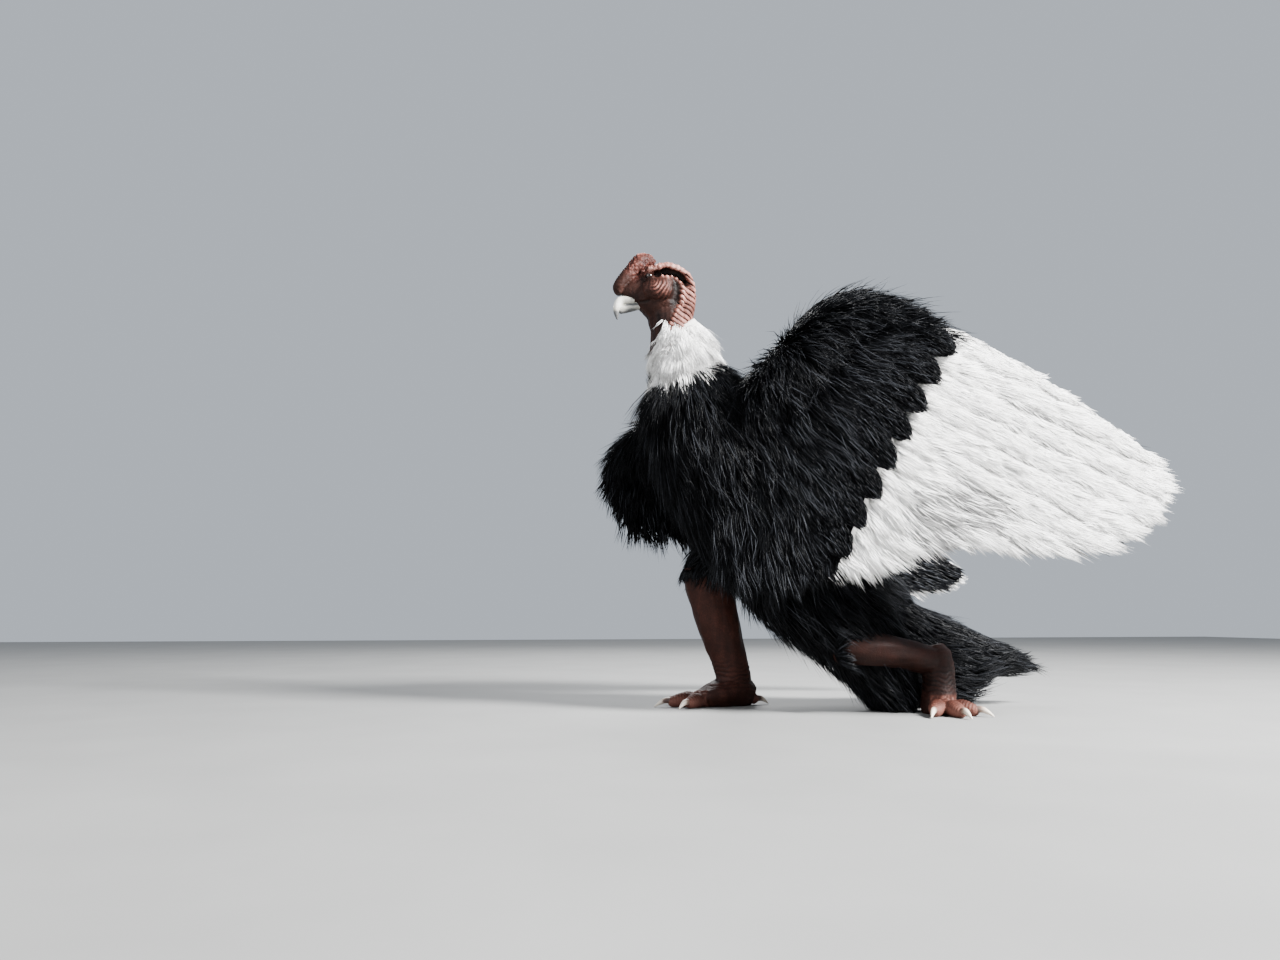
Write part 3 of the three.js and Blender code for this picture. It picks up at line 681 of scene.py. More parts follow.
def rubber_grain_group():
    """Fine creases and pores of painted latex rubber: a height and a mask of the creases."""
    group = bpy.data.node_groups.new("rubber grain", "ShaderNodeTree")
    for name, kind, way in (("Vector", "NodeSocketVector", "INPUT"),
                            ("Crease Size", "NodeSocketFloat", "INPUT"),
                            ("Pore Size", "NodeSocketFloat", "INPUT"),
                            ("Height", "NodeSocketFloat", "OUTPUT"),
                            ("Creases", "NodeSocketFloat", "OUTPUT")):
        group.interface.new_socket(name=name, in_out=way, socket_type=kind)
    given = group.nodes.new("NodeGroupInput").outputs
    warp = node(group, "ShaderNodeTexNoise", Vector=given["Vector"], Scale=22.0, Detail=3.0)
    bent = node(group, "ShaderNodeMixRGB", Fac=0.035, Color1=given["Vector"],
                Color2=warp.outputs["Color"])
    bent.blend_type = "ADD"
    creases = node(group, "ShaderNodeTexVoronoi", Vector=bent.outputs["Color"],
                   Scale=given["Crease Size"])
    creases.feature = "DISTANCE_TO_EDGE"
    pores = node(group, "ShaderNodeTexNoise", Vector=given["Vector"], Scale=given["Pore Size"],
                 Detail=5.0, Roughness=0.65)
    valley = maths(group, "MINIMUM", times(group, creases.outputs["Distance"], 5.0), 1.0)
    height = total(group, times(group, valley, 0.7), times(group, pores.outputs["Fac"], 0.6))
    fill(group, group.nodes.new("NodeGroupOutput"), Height=height, Creases=valley)
    return group


RUBBER_GRAIN = rubber_grain_group()


def rubber(name, stops, blush, roughness, crease, pore, bump):
    """Painted rubber: its colour follows the kept tone, which holds both its paint and painted shade,
    and its fine creases are darkened.
    """
    material, tree, shader = new_material(name, Specular_IOR_Level=0.13)
    grain = tree.nodes.new("ShaderNodeGroup")
    grain.node_tree = RUBBER_GRAIN
    fill(tree, grain, Vector=scaled(tree), Crease_Size=crease, Pore_Size=pore)
    blotch = node(tree, "ShaderNodeTexNoise", Vector=scaled(tree), Scale=34.0, Detail=4.0)
    shade = total(tree, attribute(tree, "tone"), wobble(tree, blotch.outputs["Fac"], 0.45))
    crease_darkening = total(tree, times(tree, grain.outputs["Creases"], 0.24), 0.76)
    paint = ramp(tree, times(tree, shade, crease_darkening), stops)
    shine = total(tree, times(tree, blotch.outputs["Fac"], 0.22), roughness - 0.1)
    fill(tree, shader, Roughness=shine,
         Base_Color=tinted(tree, attribute(tree, "blush"), paint, blush))
    embossed(tree, shader, grain.outputs["Height"], bump, 0.0012)
    return material


def hair_noise(tree):
    """The fine hairs that streak a tuft, drawn out along it."""
    where = tree.nodes.new("ShaderNodeUVMap")
    where.uv_map = "Hair"
    stretch = node(tree, "ShaderNodeMapping", Vector=where.outputs["UV"], Scale=(7, 0.6, 1))
    return node(tree, "ShaderNodeTexNoise", Vector=stretch.outputs["Vector"], Scale=1.0,
                Detail=2.0).outputs["Fac"]


def fur(name, root, body, tip, strand_highlight, roughness, streak, specular):
    """Faux fur. Each tuft runs from its root colour, a painted shade deep in the pile, to its tip.
    The wisps take a painted highlight, the tufts of lowest tone a painted shade, and each
    is streaked by the hairs it is made of."""
    material, tree, shader = new_material(name, Roughness=roughness, Specular_IOR_Level=specular)
    along, tone, hairs = attribute(tree, "along"), attribute(tree, "tone"), hair_noise(tree)
    # Painted highlight: the wisps' high tone mixes in the colour of sunlit glossy strands
    gleam = times(tree, maths(tree, "POWER", tone, 4.0),
                  maths(tree, "MINIMUM", times(tree, along, 2.0), 1.0))
    # The darker root colour is a painted shade deep in the pile
    base = tinted(tree, gleam, ramp(tree, along, [(0.0, root), (0.45, body), (1.0, tip)]), strand_highlight)
    vary = total(tree, times(tree, tone, streak), times(tree, hairs, streak))
    # Painted shade: the tufts of lowest tone keep only DEEPEST_SHADE of their colour
    open_share = maths(tree, "MINIMUM", times(tree, tone, 12.0), 1.0)
    shade = total(tree, DEEPEST_SHADE, times(tree, 1 - DEEPEST_SHADE, open_share))
    shaded = tree.nodes.new("ShaderNodeVectorMath")
    shaded.operation = "SCALE"
    fill(tree, shaded, Vector=base, Scale=times(tree, shade, total(tree, vary, 1.0 - streak)))
    fill(tree, shader, Base_Color=shaded.outputs["Vector"])
    embossed(tree, shader, hairs, 0.5, 0.001)
    return material


def horn(name, stops, roughness, size):
    """Polished moulded horn whose colour runs with the kept tone, with faint growth lines."""
    material, tree, shader = new_material(name, Roughness=roughness, Coat_Weight=0.12,
                                          Coat_Roughness=0.2)
    lines = node(tree, "ShaderNodeTexNoise", Vector=scaled(tree, (1, 1, 3.5)), Scale=size,
                 Detail=4.0).outputs["Fac"]
    shade = total(tree, attribute(tree, "tone"), wobble(tree, lines, 0.3))
    fill(tree, shader, Base_Color=ramp(tree, shade, stops))
    embossed(tree, shader, lines, 0.25, 0.0006)
    return material


def cloth(name, colour):
    """The knitted backing that the pile is tied into. It is black where it is a lining."""
    material, tree, shader = new_material(name, Roughness=0.95, Specular_IOR_Level=0.05)
    knit = node(tree, "ShaderNodeTexVoronoi", Vector=scaled(tree), Scale=420.0).outputs["Distance"]
    dark = tuple(0.55 * k for k in colour)
    yarn = ramp(tree, knit, [(0.0, colour), (0.8, dark)])
    fill(tree, shader, Base_Color=tinted(tree, attribute(tree, "lining"), yarn, LINING_COLOUR))
    embossed(tree, shader, knit, 0.4, 0.0008)
    return material


# Painted shade: how much of their colour the tufts of lowest tone keep, in a fan's hollow, along its
# partings and a few at random
DEEPEST_SHADE = 0.34
LINING_COLOUR = (0.0015, 0.0015, 0.002)
# The rubber's darkest colour, a painted shade in the deepest grooves and hollows and under the fur
CREASE_PAINTED_SHADE = (0.004, 0.0014, 0.001)
# In both furs the darker root colour is a painted shade deep in the pile, and the strand colour is a
# painted highlight on the wisps
BLACK_FUR = fur("black fur", root=(0.001, 0.001, 0.0014), body=(0.0018, 0.002, 0.0026),
                tip=(0.0035, 0.0038, 0.0048), strand_highlight=(0.029, 0.031, 0.036),
                roughness=0.38, streak=0.6, specular=0.08)
WHITE_FUR = fur("white fur", root=(0.84, 0.825, 0.8), body=(0.92, 0.91, 0.89),
                tip=(0.96, 0.95, 0.935), strand_highlight=(0.98, 0.975, 0.965),
                roughness=0.5, streak=0.11, specular=0.3)
BLACK_CLOTH = cloth("black backing", LINING_COLOUR)
WHITE_CLOTH = cloth("white backing", (0.8, 0.785, 0.76))
HEAD_RUBBER = rubber(
    "head rubber",
    [(0.0, CREASE_PAINTED_SHADE), (0.25, (0.026, 0.0085, 0.0055)), (0.5, (0.1, 0.036, 0.027)),
     (0.75, (0.31, 0.135, 0.108)), (1.0, (0.55, 0.33, 0.28))],
    blush=(0.42, 0.11, 0.085), roughness=0.52, crease=330.0, pore=620.0, bump=0.3)
LEG_RUBBER = rubber(
    "leg rubber",
    [(0.0, CREASE_PAINTED_SHADE), (0.35, (0.024, 0.0075, 0.005)), (0.65, (0.062, 0.02, 0.0135)),
     (1.0, (0.17, 0.07, 0.052))],
    blush=(0.3, 0.13, 0.1), roughness=0.58, crease=120.0, pore=420.0, bump=0.4)
BEAK_HORN = horn(
    "beak horn",
    [(0.0, (0.02, 0.021, 0.023)), (0.35, (0.11, 0.11, 0.108)), (0.7, (0.55, 0.53, 0.46)),
     (1.0, (0.84, 0.82, 0.75))],
    roughness=0.42, size=60.0)
CLAW_HORN = horn(
    "claw horn",
    [(0.0, (0.05, 0.02, 0.016)), (0.4, (0.2, 0.13, 0.1)), (0.75, (0.52, 0.42, 0.34)),
     (1.0, (0.68, 0.6, 0.5))],
    roughness=0.34, size=90.0)


def finished(made, material, slot, *nodes):
    """Gives a piece its material, its body and the solids it stands for; its slot is not used."""
    made.data.materials.clear()
    made.data.materials.append(material)
    made.data.shade_smooth()
    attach(made, "root")
    if nodes:
        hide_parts(*nodes)


# Head and neck
RECESS = [[-690, 1336], [-675, 1338], [-655, 1345], [-616, 1336], [-598, 1320], [-592, 1306]]
KNOBS = [
    [-669, 1324], [-654, 1321], [-638, 1327], [-624, 1319], [-612, 1309], [-606, 1295],
    [-605, 1280], [-608, 1264], [-604, 1250],
]
CHEEK_HOLLOW = [[-628, 1292], [-624, 1276], [-630, 1256]]
MOUTH = [[-742, 1250], [-722, 1251], [-706, 1253]]
FOLD_PITCH, FOLD_SLOPE, FOLD_HEIGHT = 17.5, 0.55, 8.0
# How far forward the folds reach, as their front edge's x at each of the heights
FOLD_LEVELS = [1120, 1160, 1210, 1260, 1320, 1350]
FOLD_FRONTS = [-672, -660, -636, -612, -606, -596]


def from_side(points):
    """The [x, z] places of points, and how far each lies from the middle."""
    return points[:, [0, 2]], np.abs(points[:, 1])


def from_eye(points):
    return points[:, 0] - EYE_AT[0], points[:, 2] - EYE_AT[2]


def blended(one, other, share):
    return one * (1 - share) + other * share


def under_brow(points):
    """How deep each point lies in the hollow under the brow band, which is painted dark as shade, from
    0 to 1.
    """
    flat, side = from_side(points)
    return bell(line_distance(flat, RECESS)[0], 8.5) * ease(side, 26, 40)


def nape_folds(points):
    """The folds down the nape and the back of the neck, longer towards the front lower down:
    where they are, their relief, and the tone there and of the skin before them."""
    x, y, z = points.T
    whole = noise(points, 30, 3)
    phase = (z + FOLD_SLOPE * (x + 600)) / FOLD_PITCH + 0.22 * noise(points, 34, 5)
    fold = np.minimum(2.3 * np.abs(np.cos(np.pi * phase)), 1.0) ** 0.8
    front = np.interp(z, FOLD_LEVELS, FOLD_FRONTS)
    nape = ease(x, front - 6, front + 12) * ease(-z, -1352, -1330)
    crease = np.abs(np.sin(np.pi * (y + 0.35 * x + 6 * noise(points, 15, 8)) / 9))
    knuckle = nape * bell(x - front - 10, 8) * fold
    height = nape * (FOLD_HEIGHT * (fold - 0.8) - 0.9 * (1 - crease) * fold) + 4.0 * knuckle
    # The folds' crests are painted pale and the grooves between them almost black, a painted shade
    tone = blended(0.21 + 0.1 * whole, 0.01 + (0.64 + 0.16 * whole) * fold**4, nape)
    tone += 0.16 * knuckle - 0.12 * bell(x - front + 12, 14) * ease(-z, -1330, -1300)
    return nape, height, tone


# The brow band and the other features of the face: each gives its relief and its tone, from
# the places and how much of them the folds take up
def brow_band(points, nape):
    """The brow band over the crown, wrinkled across."""
    x, _, z = points.T
    flat, side = from_side(points)
    rim, share = line_distance(flat, [b[::2][:2] for b in BROW])
    brow = bell(rim, 17) * ease(side, 14, 30) * (1 - nape)
    across = noise(np.stack([share * 150, rim, 0 * x], 1), [5, 30, 1], 9)
    crown = ease(z, 1358, 1368) * ease(x, -700, -680) * (1 - nape)
    height = brow * (1.8 * across + 3) + crown * 1.8 * noise(points, [8, 30, 8], 10)
    return height, np.maximum(brow, 0.9 * crown) * (0.8 + 0.18 * across)


def hollows(points, nape):
    """The hollow under the brow band and the one behind the cheek, both sunk and painted darker as
    shade.
    """
    flat, side = from_side(points)
    pit = bell(line_distance(flat, CHEEK_HOLLOW)[0], 13) * ease(side, 22, 36)
    hollow = under_brow(points)
    return -11 * hollow - 8 * pit, -0.5 * hollow - 0.3 * pit


def knobs(points, nape):
    """A row of fleshy knobs from behind the eye down to the folds."""
    flat, side = from_side(points)
    row = sum(bell(np.linalg.norm(flat - knob, axis=1), 5.2 + 1.4 * math.sin(i * 2.1))
              for i, knob in enumerate(KNOBS)) * ease(side, 22, 36)
    return 7.0 * row, 0.8 * row


def cheek_folds(points, nape):
    """Curved folds on the cheek, paler on their crests, with a painted highlight in their middle where
    the cheek is lit.
    """
    x, y, z = points.T
    ring = np.hypot(x + 700, 0.8 * (z - 1306))
    folds = np.abs(np.sin(np.pi * (ring / 9.5 + 0.4 * noise(points, 22, 12))))
    facing = ease(np.abs(y), 26, 44)
    cheek = bell(np.hypot(x + 666, z - 1280), 27) * facing
    middle = bell(np.hypot(x + 686, z - 1288), 15) * facing
    # The middle term is a painted highlight on the lit part of the cheek
    return cheek * (3.8 * folds - 1), cheek * (0.4 * folds**3 - 0.03) + 0.6 * middle * folds**2


def face_wrinkles(points, nape):
    """Fine wrinkles over the face, gathered towards the eye."""
    back, rise = from_eye(points)
    rays = np.abs(np.sin(np.arctan2(rise, back) * 9 + 1.6 * noise(points, 16, 14)))
    face = bell(np.hypot(back, rise), 46) * ease(np.abs(points[:, 1]), 16, 30)
    fine = np.abs(noise(points, [11, 11, 7], 15)) * (1 - nape)
    return -2.0 * face * (1 - under_brow(points)) * (1 - rays) ** 2 - 1.6 * fine, 0.0


def eyelids(points, nape):
    """The eye's socket and its lids."""
    back, rise = from_eye(points)
    eye = np.hypot(back, rise)
    lid = ease(np.abs(points[:, 1]), 26, 36)
    upper = ease(rise, -3, 5)
    height = 8.5 * upper * bell(eye - 9, 4.4) + 6.5 * (1 - upper) * bell(eye - 11.5, 4)
    tone = 0.3 * upper * bell(eye - 12, 3) + 0.1 * bell(eye - 15, 3)
    return (height - 4.0 * bell(eye, 9)) * lid, (tone - 0.14 * bell(eye, 20)) * lid


def mouth_line(points, nape):
    flat, side = from_side(points)
    gape, _ = line_distance(flat, MOUTH)
    height = 1.2 * bell(gape - 7, 3.5) - 3.5 * bell(gape, 3.2)
    return height * ease(side, 8, 16), -0.15 * bell(gape, 4)


def comb_flesh(points):
    """The comb's pitted flesh, pinker in front and with a pale rim: where it is, its relief,
    its tone, the rim's own tone and the blush."""
    x, _, z = points.T
    line, share = line_distance(points[:, [0, 2]], [c[:3:2] for c in COMB])
    comb = ease(-line, -40, -32) * ease(z, 1272, 1290) * ease(z + 0.95 * x, 596, 632)
    _, near, beyond, _ = cells(points, 9.5, 21)
    pits = np.clip((beyond - near) * 2.2, 0, 1)
    lumps = noise(points, 17, 22)
    height = comb * (2.8 * lumps + 3.0 * (pits - 0.6))
    rim = 0.5 * ease(line, 12, 24) * comb * ease(share, 0.45, 0.85)
    blush = comb * (ease(-share, -0.42, -0.12) + 0.1) * (0.4 + 0.6 * pits)
    return comb, height, 0.02 + 0.34 * pits + 0.2 * lumps, rim, blush


def head_relief(points, out):
    """Folds, wrinkles and hollows of the head, and how pale each place is painted."""
    nape, height, tone = nape_folds(points)
    for feature in (brow_band, hollows, knobs, cheek_folds, face_wrinkles, eyelids, mouth_line):
        rise, paint = feature(points, nape)
        height += rise
        tone += paint
    comb, lumps, flesh, rim, blush = comb_flesh(points)
    tone = blended(tone, flesh, comb) + rim
    # The bare neck: lengthwise wrinkles, dark in front
    bare = ease(-points[:, 2], -1236, -1196) * (1 - nape)
    strings = noise(points, [9, 9, 70], 24)
    height += lumps + bare * 2.6 * strings
    return height, {"tone": blended(tone, 0.17 + 0.12 * strings, bare), "blush": blush}


def head_shells():
    forms = [
        (profile(SKULL, round=2.2), 26, 36), (profile(NECK), 20, 36),
        (profile(NAPE, round=2.3), 24, 32), (limb(COMB, ASIDE), 30, 24),
    ]
    forms += [(limb(s), 14, 20) for s in (CHEEK, mirrored(CHEEK))]
    forms += [(rod(s), 18, 14) for s in (BROW, mirrored(BROW))]
    return [form.shell(*size) for form, *size in forms]


head = fused("head_and_neck_skin", head_shells(), HEAD_VOXEL, 3)
sculpted(head, head_relief)
finished(head, HEAD_RUBBER, "head_skin", "head", "neck", "nape_folds", "comb")


# Beak
def beak_tone(points):
    """Pale in front, and darker towards the root, along the cutting edge and below it."""
    x, _, z = points.T
    base = ease(x + 0.5 * (z - 1255), -797, -772)
    edge = bell(z - 1246 - 0.1 * (x + 750), 4) * ease(x, -790, -770)
    return 0.98 - 0.36 * base - 0.45 * edge - 0.75 * ease(-z, -1244, -1214)


for part, stations in (("upper", BEAK_UPPER), ("lower", BEAK_LOWER)):
    beak = mesh_object("beak_" + part + "_horn", *limb(stations, ASIDE).shell(20, 16))
    rounding = beak.modifiers.new("round", "SUBSURF")
    rounding.levels = rounding.render_levels = 1
    applied(beak)
    mark(beak, "tone", beak_tone(places_of(beak)))
    finished(beak, BEAK_HORN, "beak", "beak_" + part)


# Eyes
def eye_material():
    """Dark glass: the pupil, a brown ring round it, and the black edge under the lids."""
    material, tree, shader = new_material("glass eye", Roughness=0.1, Coat_Weight=0.3,
                                          Coat_Roughness=0.05)
    fleck = node(tree, "ShaderNodeTexNoise", Vector=scaled(tree), Scale=700.0, Detail=3.0)
    shade = total(tree, attribute(tree, "tone"), wobble(tree, fleck.outputs["Fac"], 0.12))
    rings = [(0.0, (0.002, 0.002, 0.002)), (0.42, (0.003, 0.002, 0.002)),
             (0.5, (0.02, 0.008, 0.005)), (0.8, (0.012, 0.005, 0.003)),
             (0.95, (0.006, 0.003, 0.003))]
    fill(tree, shader, Base_Color=ramp(tree, shade, rings))
    return material


def eye_form(centre, way):
    """A ball whose pole faces its own side."""
    def frame_of(u):
        turn = np.pi * np.atleast_1d(u)[:, None]
        size = np.sin(turn) * EYE_RADIUS
        middle = centre - ASIDE * way * EYE_RADIUS * np.cos(turn)
        return middle, size * BACK, size * UP, -size * UP

    return Form(frame_of)


GLASS_EYE = eye_material()
for name, way in SIDES.items():
    centre = EYE_AT * [1, way, 1]
    eye = mesh_object("eye_" + name + "_glass", *eye_form(centre, way).shell(20, 28))
    spots = places_of(eye) - centre
    off_axis = np.hypot(spots[:, 0], spots[:, 2]) / EYE_RADIUS
    mark(eye, "tone", np.where(spots[:, 1] * way > 0, off_axis, 1.0))
    finished(eye, GLASS_EYE, "eye", "eye_" + name)


# Gaiters and overshoes
def toe_line(name, toe):
    """Where a toe starts, the way it points and its girth."""
    base, headings = TOES[name]
    turn = math.radians(headings[toe])
    way = np.array([-math.cos(turn), -math.sin(turn), 0])
    girth = HIND_GIRTH if toe == "hind" else 1.0
    start = np.array(base, float) + way * (HIND_START[name] if toe == "hind" else 0)
    return start, way, girth


def toe_form(name, toe):
    start, way, girth = toe_line(name, toe)
    stations = []
    for s, z, k in TOE_BONES:
        p = start + way * s * TOE_LENGTH[toe]
        stations.append([p[0], p[1], z, TOE_RADIUS * girth * k])
    return rod(stations)


def claw_form(name, toe):
    start, way, girth = toe_line(name, toe)
    stations = []
    for s, z, k in CLAW_BONES:
        p = start + way * (TOE_LENGTH[toe] + s * CLAW_LENGTH * girth)
        r = CLAW_RADIUS * k
        stations.append([p[0], p[1], z, r, r * CLAW_RISE, r])
    return limb(stations)


def beside_toe(points, name, toe):
    """How far along a toe each point lies, and how far off its middle line."""
    start, way, _ = toe_line(name, toe)
    away = points - start
    along = away @ way
    return along, np.linalg.norm(away[:, :2] - along[:, None] * way[:2], axis=1)


# How light each gaiter is painted: the left one is darker, a painted shade where the body shades it
GAITER_TONE_WITH_SHADE = {"left": 0.2, "right": 0.43}
# The toes are paler than the gaiters: partly their own paint, partly a painted highlight where they
# catch the light
TOE_TONE = 0.58
# The pulls run along the shin, which lies level on the left and stands on the right
PULL_SIZE = {"left": [90, 18, 18], "right": [18, 18, 90]}
# The height of the right gaiter's top; just below it the rubber is painted dark as the shade of the
# fur that hangs over its cut rim
GAITER_TOP = SHIN["right"][0][2]


def toe_relief(points, out, name):
    """The rings round the toes: where the toes are, their relief and their tone."""
    on_toe, height, tone = (np.zeros(len(points)) for _ in range(3))
    for toe in TOES[name][1]:
        along, off = beside_toe(points, name, toe)
        reach = ease(-off, -TOE_RADIUS * 1.25, -TOE_RADIUS * 0.95)
        reach *= ease(along, 10, 30) * ease(-points[:, 2], -62, -48)
        rings = np.abs(np.sin(np.pi * (along / 8.6 + 0.18 * noise(points, 14, 33))))
        height += reach * ease(out[:, 2], -0.3, 0.4) * (3.0 * rings**0.6 - 1.6)
        tone += reach * 0.3 * (rings - 0.35)
        on_toe = np.maximum(on_toe, reach)
    return on_toe, height, tone


def leg_relief(name):
    """Ringed toes, a creased ankle and long pulls up the gaiter."""
    def relief(points, out):
        z = points[:, 2]
        on_toe, height, tone = toe_relief(points, out, name)
        height += noise(points, 28, 31)
        # The gaiter tone holds the painted shade on the left gaiter
        tone += blended(GAITER_TONE_WITH_SHADE[name], TOE_TONE, on_toe) + 0.1 * noise(points, 45, 32)
        creases = np.abs(np.sin(np.pi * (z / 13.5 + 0.8 * noise(points, 30, 34))))
        ankle = bell(z - 92, 42) * (1 - on_toe) * (1 - creases) ** 2
        pulls = noise(points, PULL_SIZE[name], 35)
        height += 2.4 * (1 - on_toe) * pulls - 3.4 * ankle
        # The top of the gaiter is painted dark, a painted shade under the overhanging fur
        tone += 0.08 * pulls - 0.25 * ankle - ease(z, GAITER_TOP - 16, GAITER_TOP - 4)
        return height, {"tone": tone, "blush": 0.35 * on_toe * ease(-z, -40, -20)}

    return relief


def claw_tone(points, name):
    """Dark at the root of each claw and pale at its tip."""
    share = np.zeros(len(points))
    best = np.full(len(points), 1e9)
    for toe in TOES[name][1]:
        along, off = beside_toe(points, name, toe)
        girth = toe_line(name, toe)[2]
        closer = off < best
        best[closer] = off[closer]
        share[closer] = ((along - TOE_LENGTH[toe]) / (CLAW_LENGTH * girth))[closer]
    return 0.12 + 0.95 * ease(share, -0.1, 0.75)


for name in SIDES:
    shin = limb(SHIN[name], ASIDE if name == "right" else None)
    foot = limb(FOOT[name], ASIDE if name == "left" else None)
    toes = TOES[name][1]
    shells = [shin.shell(24, 30), foot.shell(24, 30)]
    shells += [toe_form(name, toe).shell(24, 18) for toe in toes]
    leg = fused("leg_" + name + "_skin", shells, LEG_VOXEL, 3)
    sculpted(leg, leg_relief(name))
    finished(leg, LEG_RUBBER, "leg_rubber", "shin_" + name, "foot_" + name)
    claw_shells = [claw_form(name, toe).shell(18, 14) for toe in toes]
    claws = mesh_object("claws_" + name + "_horn", *joined(claw_shells))
    mark(claws, "tone", claw_tone(places_of(claws), name))
    finished(claws, CLAW_HORN, "claw", *("claw_" + name + "_" + toe for toe in toes))


# Fur
# Where each ring of a tuft lies along it, and how wide and deep it is there
LONG_TUFT = np.array([[0.0, 0.72, 0.8], [0.36, 1.0, 1.0], [0.7, 0.62, 0.6]]).T
FINE_TUFT = np.array([[0.0, 0.78, 0.8], [0.48, 0.96, 0.95]]).T
# The corners of a ring, as shares of the width and the depth, and each one's place across
TUFT_CORNERS = np.array([[-0.5, 0.0], [0.5, 0.0], [0.0, 1.0]])
TUFT_ACROSS = [0.0, 1.0, 0.5]
TUFT_DEPTH = 0.42
# How deep the roots reach into the backing, and how low the tufts may lie on the floor
ROOT_SINK, FLOOR_GAP = 4.0, 0.4
PATCH = 0.003
HAIR_STEP = 3.7
MOST_TRIANGLES = 190000
SWAY_SIZE = 95
WISP_LENGTH, WISP_WIDTH, WISP_LIFT = 1.22, 0.6, 1.5
SCATTER_ROWS, SCATTER_COLUMNS = 70, 90
PROBE_RAY = Vector((0.31, -0.17, 0.93)).normalized()


def scatter(form, count, rng, keep):
    """Spots spread evenly over a form's surface, where `keep` lets them grow."""
    rows, columns = SCATTER_ROWS, SCATTER_COLUMNS
    u, angle = np.meshgrid(np.linspace(0, 1, rows + 1), np.linspace(0, 2 * np.pi, columns + 1),
                           indexing="ij")
    grid = form.points(u.ravel(), angle.ravel()).reshape(rows + 1, columns + 1, 3)
    down, across = grid[1:, :-1] - grid[:-1, :-1], grid[:-1, 1:] - grid[:-1, :-1]
    area = np.linalg.norm(np.cross(down, across), axis=2).ravel()
    low_u, low_angle = u[:-1, :-1].ravel(), angle[:-1, :-1].ravel()
    if keep is not None:
        middle = low_u + 0.5 / rows, low_angle + np.pi / columns
        area = area * keep(form.points(*middle), form.normals(*middle), *middle)
    wanted = area / area.sum() * count
    number = np.floor(wanted).astype(int) + (rng.random(len(wanted)) < wanted % 1)
    cell = np.repeat(np.arange(len(wanted)), number)
    spots = low_u[cell] + rng.random(len(cell)) / rows
    return spots, low_angle[cell] + rng.random(len(cell)) * 2 * np.pi / columns


def outside(points, trees):
    """True for each point outside all the skins given: a ray from inside meets a skin's back."""
    free = np.ones(len(points), bool)
    for tree in trees:
        for i in np.flatnonzero(free):
            _, out, _, _ = tree.ray_cast(Vector(placed(points[i])), PROBE_RAY)
            free[i] = out is None or out.dot(PROBE_RAY) < 0
    return free


class Coat:
    """Gathers stretches of fur and turns them into pieces of tufts."""

    def __init__(self, name, material, slot, seed, shape=LONG_TUFT):
        self.name, self.material, self.slot, self.shape = name, material, slot, shape
        self.rng = np.random.default_rng(seed)
        self.seed = seed
        self.stretches = []

    def grow(self, form, count, length, width, lift, sag=0.0, curl=4.0, clump=24.0, gather=0.5,
             stray=0.12, sway=0.0, wisps=0.0, lie=None, keep=None, trees=(), tone=None,
             fade=None, rise=None, droop=0.0):
        """Tufts over a form. `lie` gives their way and otherwise they follow its course, `sway`
        bends that way in slow waves, `gather` draws tips together in locks, `wisps` is the
        share of thin strands that stand out with a painted highlight, `tone` adds painted shade
        by place, and `fade` and `rise` scale the length and the lift."""
        rng = self.rng
        u, angle = scatter(form, count, rng, keep)
        root = form.points(u, angle)
        free = outside(root, trees)
        u, angle, root = u[free], angle[free], root[free]
        out = form.normals(u, angle)
        way = form.course(u, angle) if lie is None else lie(root)
        centre, _, _, draws = cells(root, clump, self.seed)
        number = len(root)
        side = np.cross(out, way)
        turn = stray * (rng.standard_normal(number) * 0.4 + 2 * (draws[:, 0] - 0.5))
        turn = turn + sway * noise(root, SWAY_SIZE, self.seed)
        way = way + side * turn[:, None]
        ahead = unit(way - out * dot(way, out))
        wisp = rng.random(number) < wisps
        scale = (0.85 + 0.3 * rng.random(number)) * (0.8 + 0.4 * draws[:, 1])
        if fade is not None:
            scale = scale * fade(root, u, angle)
        raised = lift * scale * (0.6 + 0.8 * draws[:, 0]) * np.where(wisp, WISP_LIFT, 1)
        if rise is not None:
            raised = raised * rise(root)
        shade = 0.35 * draws[:, 2] + 0.3 * rng.random(number)
        # Painted shade: the tone darkens tufts by where they lie
        if tone is not None:
            shade = shade + tone(root + ahead * (0.45 * length))
        # Wisps get a high tone, which the fur material turns into a painted highlight
        shade = np.where(wisp, 0.72 + 0.28 * rng.random(number), np.clip(shade, 0, 1))
        pull = centre - root
        pull = pull - out * dot(pull, out) - ahead * dot(pull, ahead)
        waves = 1.5 * (draws[:, 2] - 0.5) + 0.35 * rng.standard_normal(number)
        self.stretches.append({
            "root": root, "out": out, "ahead": ahead,
            "long": length * scale * np.where(wisp, WISP_LENGTH, 1),
            "wide": width * (0.75 + 0.5 * rng.random(number)) * np.where(wisp, WISP_WIDTH, 1),
            "lift": raised, "sag": sag * scale, "curl": curl * waves,
            "phase": 2 * np.pi * (draws[:, 1] + 0.15 * rng.random(number)),
            "pull": pull * gather, "shade": shade, "droop": np.full(number, float(droop)),
            "uv": np.stack([angle / (2 * np.pi), u], 1),
        })
        return self

    def finish(self):
        """Builds the pieces. Each stretch has its own strip of the unwrap."""
        strips = len(self.stretches)
        for i, s in enumerate(self.stretches):
            s["uv"] = np.stack([(i + 0.02 + 0.94 * (s["uv"][:, 0] % 1)) / strips,
                                0.01 + 0.97 * s["uv"][:, 1]], 1)
        tufts = {k: np.concatenate([s[k] for s in self.stretches]) for k in self.stretches[0]}
        number = len(tufts["root"])
        parts = math.ceil(number * len(tuft_faces(self.shape.shape[1])) / MOST_TRIANGLES)
        order = self.rng.permutation(number)
        for part in range(parts):
            picked = order[part::parts]
            name = self.name if parts == 1 else self.name + "_" + "abcdef"[part]
            made = tuft_mesh(name, {k: v[picked] for k, v in tufts.items()}, self.shape)
            finished(made, self.material, self.slot)


